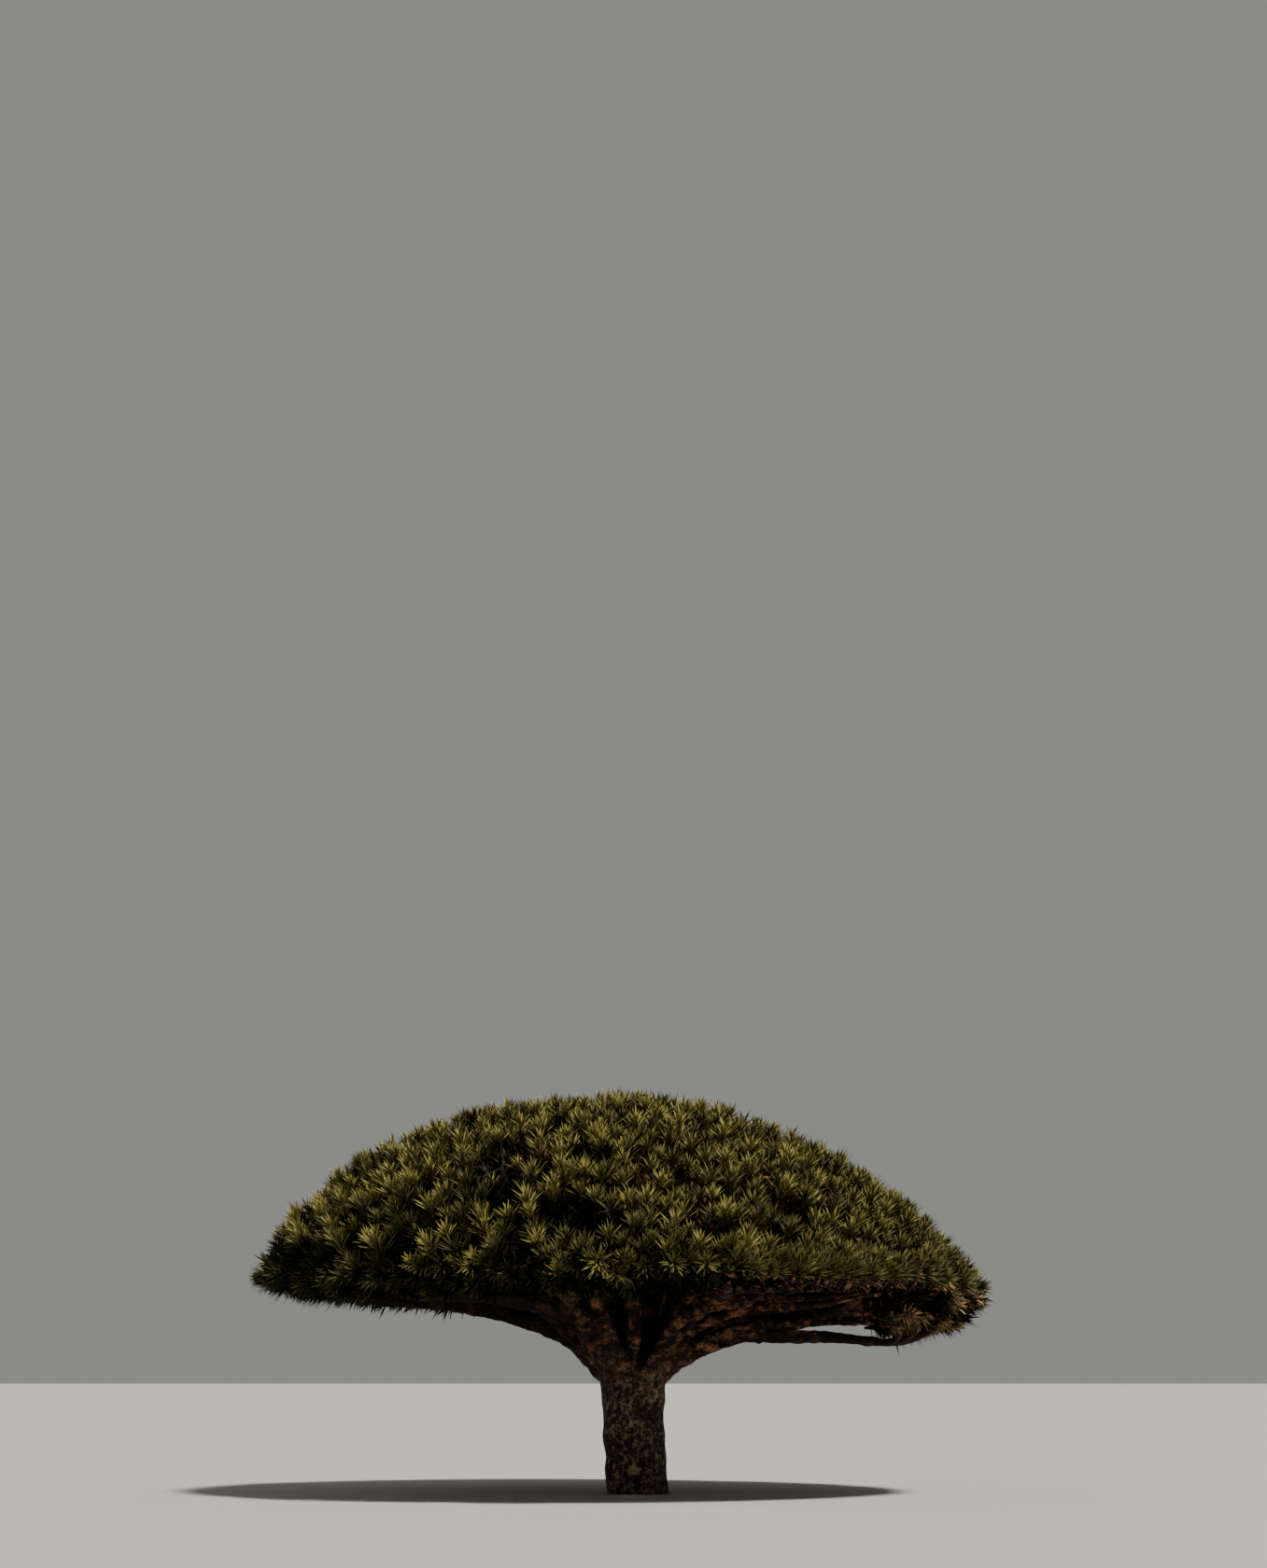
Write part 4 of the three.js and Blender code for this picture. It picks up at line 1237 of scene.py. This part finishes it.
def grow_twigs(line, tufts, lines, twig_radius):
    """Runs towards the tufts and forks across their widest spread until each is reached."""
    start = line[-1][0]
    if len(tufts) == 1:
        tuft = tufts[0]
        lines.append(line + [
            (tuft.root - tuft.axis * TWIG_END, twig_radius),
            (tuft.root + tuft.axis * TWIG_INSIDE, twig_radius * TWIG_HEAD),
        ])
        return
    middle = sum((tuft.root for tuft in tufts), Vector()) / len(tufts)
    steps_left = math.ceil(math.log2(len(tufts))) + 1
    end = start.lerp(middle, 1 / steps_left)
    end = end + noise.noise_vector(end * TWIG_WANDER_SCALE) * TWIG_WANDER
    radius = twig_radius * len(tufts) ** TWIG_GROWTH
    furthest = max(tufts, key=lambda tuft: (tuft.root - middle).length)
    widest = furthest.root - middle
    tufts = sorted(tufts, key=lambda tuft: tuft.root.dot(widest))
    half = len(tufts) // 2
    inside = end.lerp(start, min(FORK_SUNK, radius / max((end - start).length, LEAST_GAP)))
    second = [(inside, radius * SECOND_STEM_SHARES[0]), (end, radius * SECOND_STEM_SHARES[1])]
    grow_twigs(line + [(end, radius)], tufts[half:], lines, twig_radius)
    grow_twigs(second, tufts[:half], lines, twig_radius)


def twig_lines(limbs, tufts, twig_radius):
    """Each tuft is fed from the place on a limb that it's best reached from."""
    stations = []
    for limb in limbs:
        first, steps = BOUGH_STATIONS if limb.parent is None else OTHER_STATIONS
        for i in range(steps + 1):
            t = first + (1 - first) * i / steps
            stations.append((limb, t, limb.point(t), limb.tangent(t)))
    places = np.array([tuple(station[2]) for station in stations])
    headings = np.array([tuple(station[3]) for station in stations])
    groups = {}
    for tuft in tufts:
        away = np.array(tuple(tuft.root)) - places
        gaps = np.linalg.norm(away, axis=1)
        ahead = np.sum(away * headings, axis=1) / np.maximum(gaps, 1e-6)
        best = int(np.argmin(gaps * (1 + SIDEWAYS_COST - SIDEWAYS_COST * ahead)))
        groups.setdefault(best, []).append(tuft)
    lines = []
    for index, fed in sorted(groups.items()):
        limb, t, place, heading = stations[index]
        radius = min(STEM_SHARE * limb.radius(t), twig_radius * len(fed) ** STEM_GROWTH)
        behind = limb.point(max(t - STATION_BACK, limb.start))
        stem = [(behind, radius), (place + heading * STATION_AHEAD, radius)]
        grow_twigs(stem, fed, lines, twig_radius)
    return lines


def is_clear(line):
    """Whether the whole line leaves the windows of sky free."""
    for (start, first_radius), (end, last_radius) in zip(line[1:], line[2:]):
        for i in range(LINE_SAMPLES + 1):
            gap = gap_to_window(start.lerp(end, i / LINE_SAMPLES))
            if gap < max(first_radius, last_radius) + WINDOW_GAP:
                return False
    return True


def lines_object(name, lines):
    """A mesh of loose lines with a thickness at each of their points."""
    vertices = []
    edges = []
    thickness = []
    for line in lines:
        first = len(vertices)
        vertices += [place for place, _ in line]
        thickness += [radius for _, radius in line]
        edges += [(first + i, first + i + 1) for i in range(len(line) - 1)]
    piece = new_object(name, vertices, edges)
    put_attribute(piece, "thickness", "FLOAT", "value", thickness)
    return piece


def scaled(place, across, along):
    return Vector((place.x * across, place.y * across, place.z * along))


def relief_height(at, settings):
    """How far the bark stands out: furrows that run up the trunk, lumps and folds, less the groove."""
    on_trunk = 1 - smooth((at.z - TRUNK_RELIEF[0]) / TRUNK_RELIEF[1])
    furrow = abs(noise.noise(scaled(at, *FURROW_SCALE))) - FURROW_EDGE
    lump = noise.noise(at * LUMP_SCALE)
    fold = noise.noise(scaled(at, *FOLD_SCALE))
    depth = settings.furrow_depth * furrow * (BOUGH_FURROWS + (1 - BOUGH_FURROWS) * on_trunk) * FURROW_SPAN
    lumps = lump * (BOUGH_LUMPS + (1 - BOUGH_LUMPS) * on_trunk) + FOLD_SHARE * fold
    return depth + settings.lump_size * lumps - GROOVE_DEPTH * in_groove(at)


def in_groove(at):
    """1 along the middle of the fork's groove and 0 outside it."""
    share, beside = groove_place(at.x, at.z)
    if at.y > 0 or not 0 < share < GROOVE_END:
        return 0.0
    ends = smooth(GROOVE_EASE[0] * share) * smooth(GROOVE_EASE[1] * (GROOVE_END - share))
    return (1 - smooth(beside)) * ends


def fork_weight(at):
    """1 in the fork's middle and 0 outside its zone."""
    near = smooth((FORK_ZONE_REACH[0] - math.hypot(at.x - TRUNK_LEAN, at.y)) / FORK_ZONE_REACH[1])
    above = smooth((at.z - FORK_ZONE_FOOT[0]) / FORK_ZONE_FOOT[1])
    return near * above * (1 - smooth((at.z - FORK_ZONE_HEAD[0]) / FORK_ZONE_HEAD[1]))


class TREE_OT_wood(bpy.types.Operator):
    """Fuse the trunk and the boughs and give them the relief of their bark"""

    bl_idname = "dragon_tree.wood"
    bl_label = "Trunk and boughs"

    def execute(self, context):
        settings = context.scene.dragon_tree_bark
        vertices = []
        faces = []
        for more_vertices, more_faces in [trunk_tube()] + [limb_tube(limb) for limb in wood_limbs()]:
            first = len(vertices)
            vertices += more_vertices
            faces += [tuple(first + i for i in face) for face in more_faces]
        wood = new_object("trunk_and_boughs", vertices, faces=faces)
        remesh = wood.modifiers.new("fuse", "REMESH")
        remesh.mode = "VOXEL"
        remesh.voxel_size = settings.voxel
        bake_modifiers(wood)
        self.blend_fork(wood)
        self.add_relief(wood.data, settings)
        thin = wood.modifiers.new("thin", "DECIMATE")
        triangles = sum(len(face.vertices) - 2 for face in wood.data.polygons)
        thin.ratio = min(1.0, settings.triangles / triangles)
        bake_modifiers(wood)
        for vertex in wood.data.vertices:
            vertex.co.z = max(vertex.co.z, 0.0)
        wood.data.materials.append(bark_material("bark", settings))
        wood.data.polygons.foreach_set("use_smooth", [True] * len(wood.data.polygons))
        finish_piece(wood, nodes_named("trunk", "bough", "limb", "rib"))
        return {"FINISHED"}

    def blend_fork(self, wood):
        """Smooths the whole a little and the fork a lot, so that the boughs flow out of the trunk."""
        group = wood.vertex_groups.new(name="fork")
        for vertex in wood.data.vertices:
            weight = fork_weight(vertex.co)
            if weight > LEAST_WEIGHT:
                group.add([vertex.index], weight, "REPLACE")
        for name, iterations, group_name in SMOOTHING:
            modifier = wood.modifiers.new(name, "SMOOTH")
            modifier.factor = 0.5
            modifier.iterations = iterations
            modifier.vertex_group = group_name
        bake_modifiers(wood)

    def add_relief(self, mesh, settings):
        """Moves every vertex out or in along its normal, and keeps the foot flat on the ground."""
        places = np.empty(len(mesh.vertices) * 3)
        normals = np.empty(len(mesh.vertices) * 3)
        mesh.vertices.foreach_get("co", places)
        mesh.vertex_normals.foreach_get("vector", normals)
        places = places.reshape(-1, 3)
        for i, normal in enumerate(normals.reshape(-1, 3)):
            places[i] += normal * relief_height(Vector(places[i]), settings)
        places[places[:, 2] < FOOT_LEVEL, 2] = 0.0
        mesh.vertices.foreach_set("co", places.ravel())
        mesh.update()


class TREE_OT_branches(bpy.types.Operator):
    """Grow the branches and twigs on from the limbs to every tuft of leaves"""

    bl_idname = "dragon_tree.branches"
    bl_label = "Branches and twigs"

    def execute(self, context):
        bark = context.scene.dragon_tree_bark
        fan = fan_limbs()
        shares = [i / FAN_LINE_STEPS for i in range(FAN_LINE_STEPS + 1)]
        fan_lines = [[(limb.point(t), limb.radius(t)) for t in shares] for limb in fan]
        tufts = [tuft for tuft, _ in all_tufts(context.scene.dragon_tree_leaves)]
        fine_lines = twig_lines(wood_limbs() + fan, tufts, bark.twig_radius)
        thick_lines = [line for line in fine_lines if line[0][1] > BRANCHLET_RADIUS]
        thin_lines = [line for line in fine_lines if line[0][1] <= BRANCHLET_RADIUS]
        tree = branch_tree()
        material = bark_material("branch_bark", bark)
        self.make_piece("branches", fan_lines, tree, {"Sides": 10, "Steps": 2, "Material": material})
        self.make_piece("branchlets", thick_lines, tree, {"Sides": 6, "Steps": 1, "Material": material})
        self.make_piece("twigs", thin_lines, tree, {"Sides": 4, "Steps": 1, "Material": material})
        return {"FINISHED"}

    def make_piece(self, name, lines, tree, values):
        piece = lines_object(name, [line for line in lines if is_clear(line)])
        put_modifier(piece, tree, values)
        bake_modifiers(piece)
        finish_piece(piece, nodes_named("foliage"))


class TREE_OT_leaves(bpy.types.Operator):
    """Set a tuft of sword leaves on every twig, each kind of leaf as its own piece"""

    bl_idname = "dragon_tree.leaves"
    bl_label = "Leaf tufts"

    def execute(self, context):
        settings = context.scene.dragon_tree_leaves
        tufts = all_tufts(settings)
        tree = rosette_tree()
        for seed, (kind, traits) in enumerate(LEAF_KINDS.items()):
            chosen = [tuft for tuft, kind_of_tuft in tufts if kind_of_tuft == kind]
            if not chosen:
                raise RuntimeError("no tuft has leaves of the kind " + kind)
            self.make_piece(kind, chosen, tree, settings, {**PLAIN_LEAF, **traits}, SEED_STEP * seed)
        return {"FINISHED"}

    def make_piece(self, kind, tufts, tree, settings, traits, seed):
        piece = new_object("leaves_" + kind, [tuft.root for tuft in tufts])
        put_attribute(piece, "axis", "FLOAT_VECTOR", "vector", [tuple(tuft.axis) for tuft in tufts])
        put_attribute(piece, "size", "FLOAT", "value", [tuft.size for tuft in tufts])
        put_attribute(piece, "spin", "FLOAT", "value", [tuft.spin for tuft in tufts])
        put_modifier(piece, tree, {
            "Leaves": int(settings.leaves * traits["number"]),
            "Length": settings.length * traits["length"],
            "Width": settings.width * traits["width"],
            "Fold": settings.fold,
            "Arch": settings.arch,
            "Inner Tilt": settings.inner_tilt,
            "Outer Tilt": settings.outer_tilt + traits["tilt"],
            "Seed": seed,
            "Material": leaf_material("leaf_" + kind, getattr(settings, kind), traits["gloss"]),
        })
        bake_modifiers(piece)
        finish_piece(piece, nodes_named("foliage"))


class TREE_OT_stage(bpy.types.Operator):
    """Lay the floor, set the lights and place the camera at the photograph's viewing angle"""

    bl_idname = "dragon_tree.stage"
    bl_label = "Floor, light and camera"

    def execute(self, context):
        settings = context.scene.dragon_tree_stage
        corners = [(FLOOR_HALF * x, FLOOR_HALF * y, 0) for x, y in ((-1, -1), (1, -1), (1, 1), (-1, 1))]
        floor = new_object("floor", corners, faces=[(0, 1, 2, 3)])
        floor.data.materials.append(floor_material(settings.floor))
        self.add_sun(context, settings.key_energy)
        self.add_sky(context, settings.sky_strength)
        self.add_camera(context)
        return {"FINISHED"}

    def add_sun(self, context, energy):
        data = bpy.data.lights.new("key_light", "SUN")
        data.energy = energy
        data.angle = KEY_SPREAD
        data.color = KEY_COLOUR
        lamp = bpy.data.objects.new("key_light", data)
        lamp.rotation_euler = KEY_DIRECTION.to_track_quat("Z", "Y").to_euler()
        context.scene.collection.objects.link(lamp)

    def add_sky(self, context, strength):
        world = bpy.data.worlds.new("studio")
        world.use_nodes = True
        world.node_tree.nodes.clear()
        maker = NodeMaker(world.node_tree)
        light = maker.node("ShaderNodeBackground", {"Color": SKY_COLOUR, "Strength": strength})
        maker.node("ShaderNodeOutputWorld", {"Surface": light})
        context.scene.world = world

    def add_camera(self, context):
        data = bpy.data.cameras.new("camera")
        data.sensor_fit = "VERTICAL"
        data.sensor_height = SENSOR_HEIGHT
        data.lens = SENSOR_HEIGHT / 2 / math.tan(CAMERA_HEIGHT_ANGLE / 2)
        data.clip_end = CAMERA_RANGE
        camera = bpy.data.objects.new("camera", data)
        camera.location = CAMERA_PLACE
        camera.rotation_euler = (math.pi / 2 + CAMERA_PITCH, 0.0, 0.0)
        context.scene.collection.objects.link(camera)
        context.scene.camera = camera


class TREE_PT_panel(bpy.types.Panel):
    """The tree's pieces and their settings"""

    bl_idname = "TREE_PT_panel"
    bl_label = "Dragon blood tree"
    bl_space_type = "VIEW_3D"
    bl_region_type = "UI"
    bl_category = "Dragon tree"

    def draw(self, context):
        for operator in OPERATORS:
            self.layout.operator(operator.bl_idname)
        for name in SETTINGS:
            group = getattr(context.scene, name)
            box = self.layout.box()
            for key in group.__annotations__:
                box.prop(group, key)


OPERATORS = (TREE_OT_wood, TREE_OT_branches, TREE_OT_leaves, TREE_OT_stage)
SETTINGS = {
    "dragon_tree_bark": BarkSettings,
    "dragon_tree_leaves": LeafSettings,
    "dragon_tree_stage": StageSettings,
}
CLASSES = (*SETTINGS.values(), *OPERATORS, TREE_PT_panel)


def register():
    noise.seed_set(NOISE_SEED)
    for cls in CLASSES:
        bpy.utils.register_class(cls)
    for name, cls in SETTINGS.items():
        setattr(bpy.types.Scene, name, bpy.props.PointerProperty(type=cls))


def unregister():
    for name in SETTINGS:
        delattr(bpy.types.Scene, name)
    for cls in reversed(CLASSES):
        bpy.utils.unregister_class(cls)


def main():
    register()
    bpy.ops.dragon_tree.stage()
    bpy.ops.dragon_tree.wood()
    bpy.ops.dragon_tree.branches()
    bpy.ops.dragon_tree.leaves()


if __name__ == "__main__":
    main()
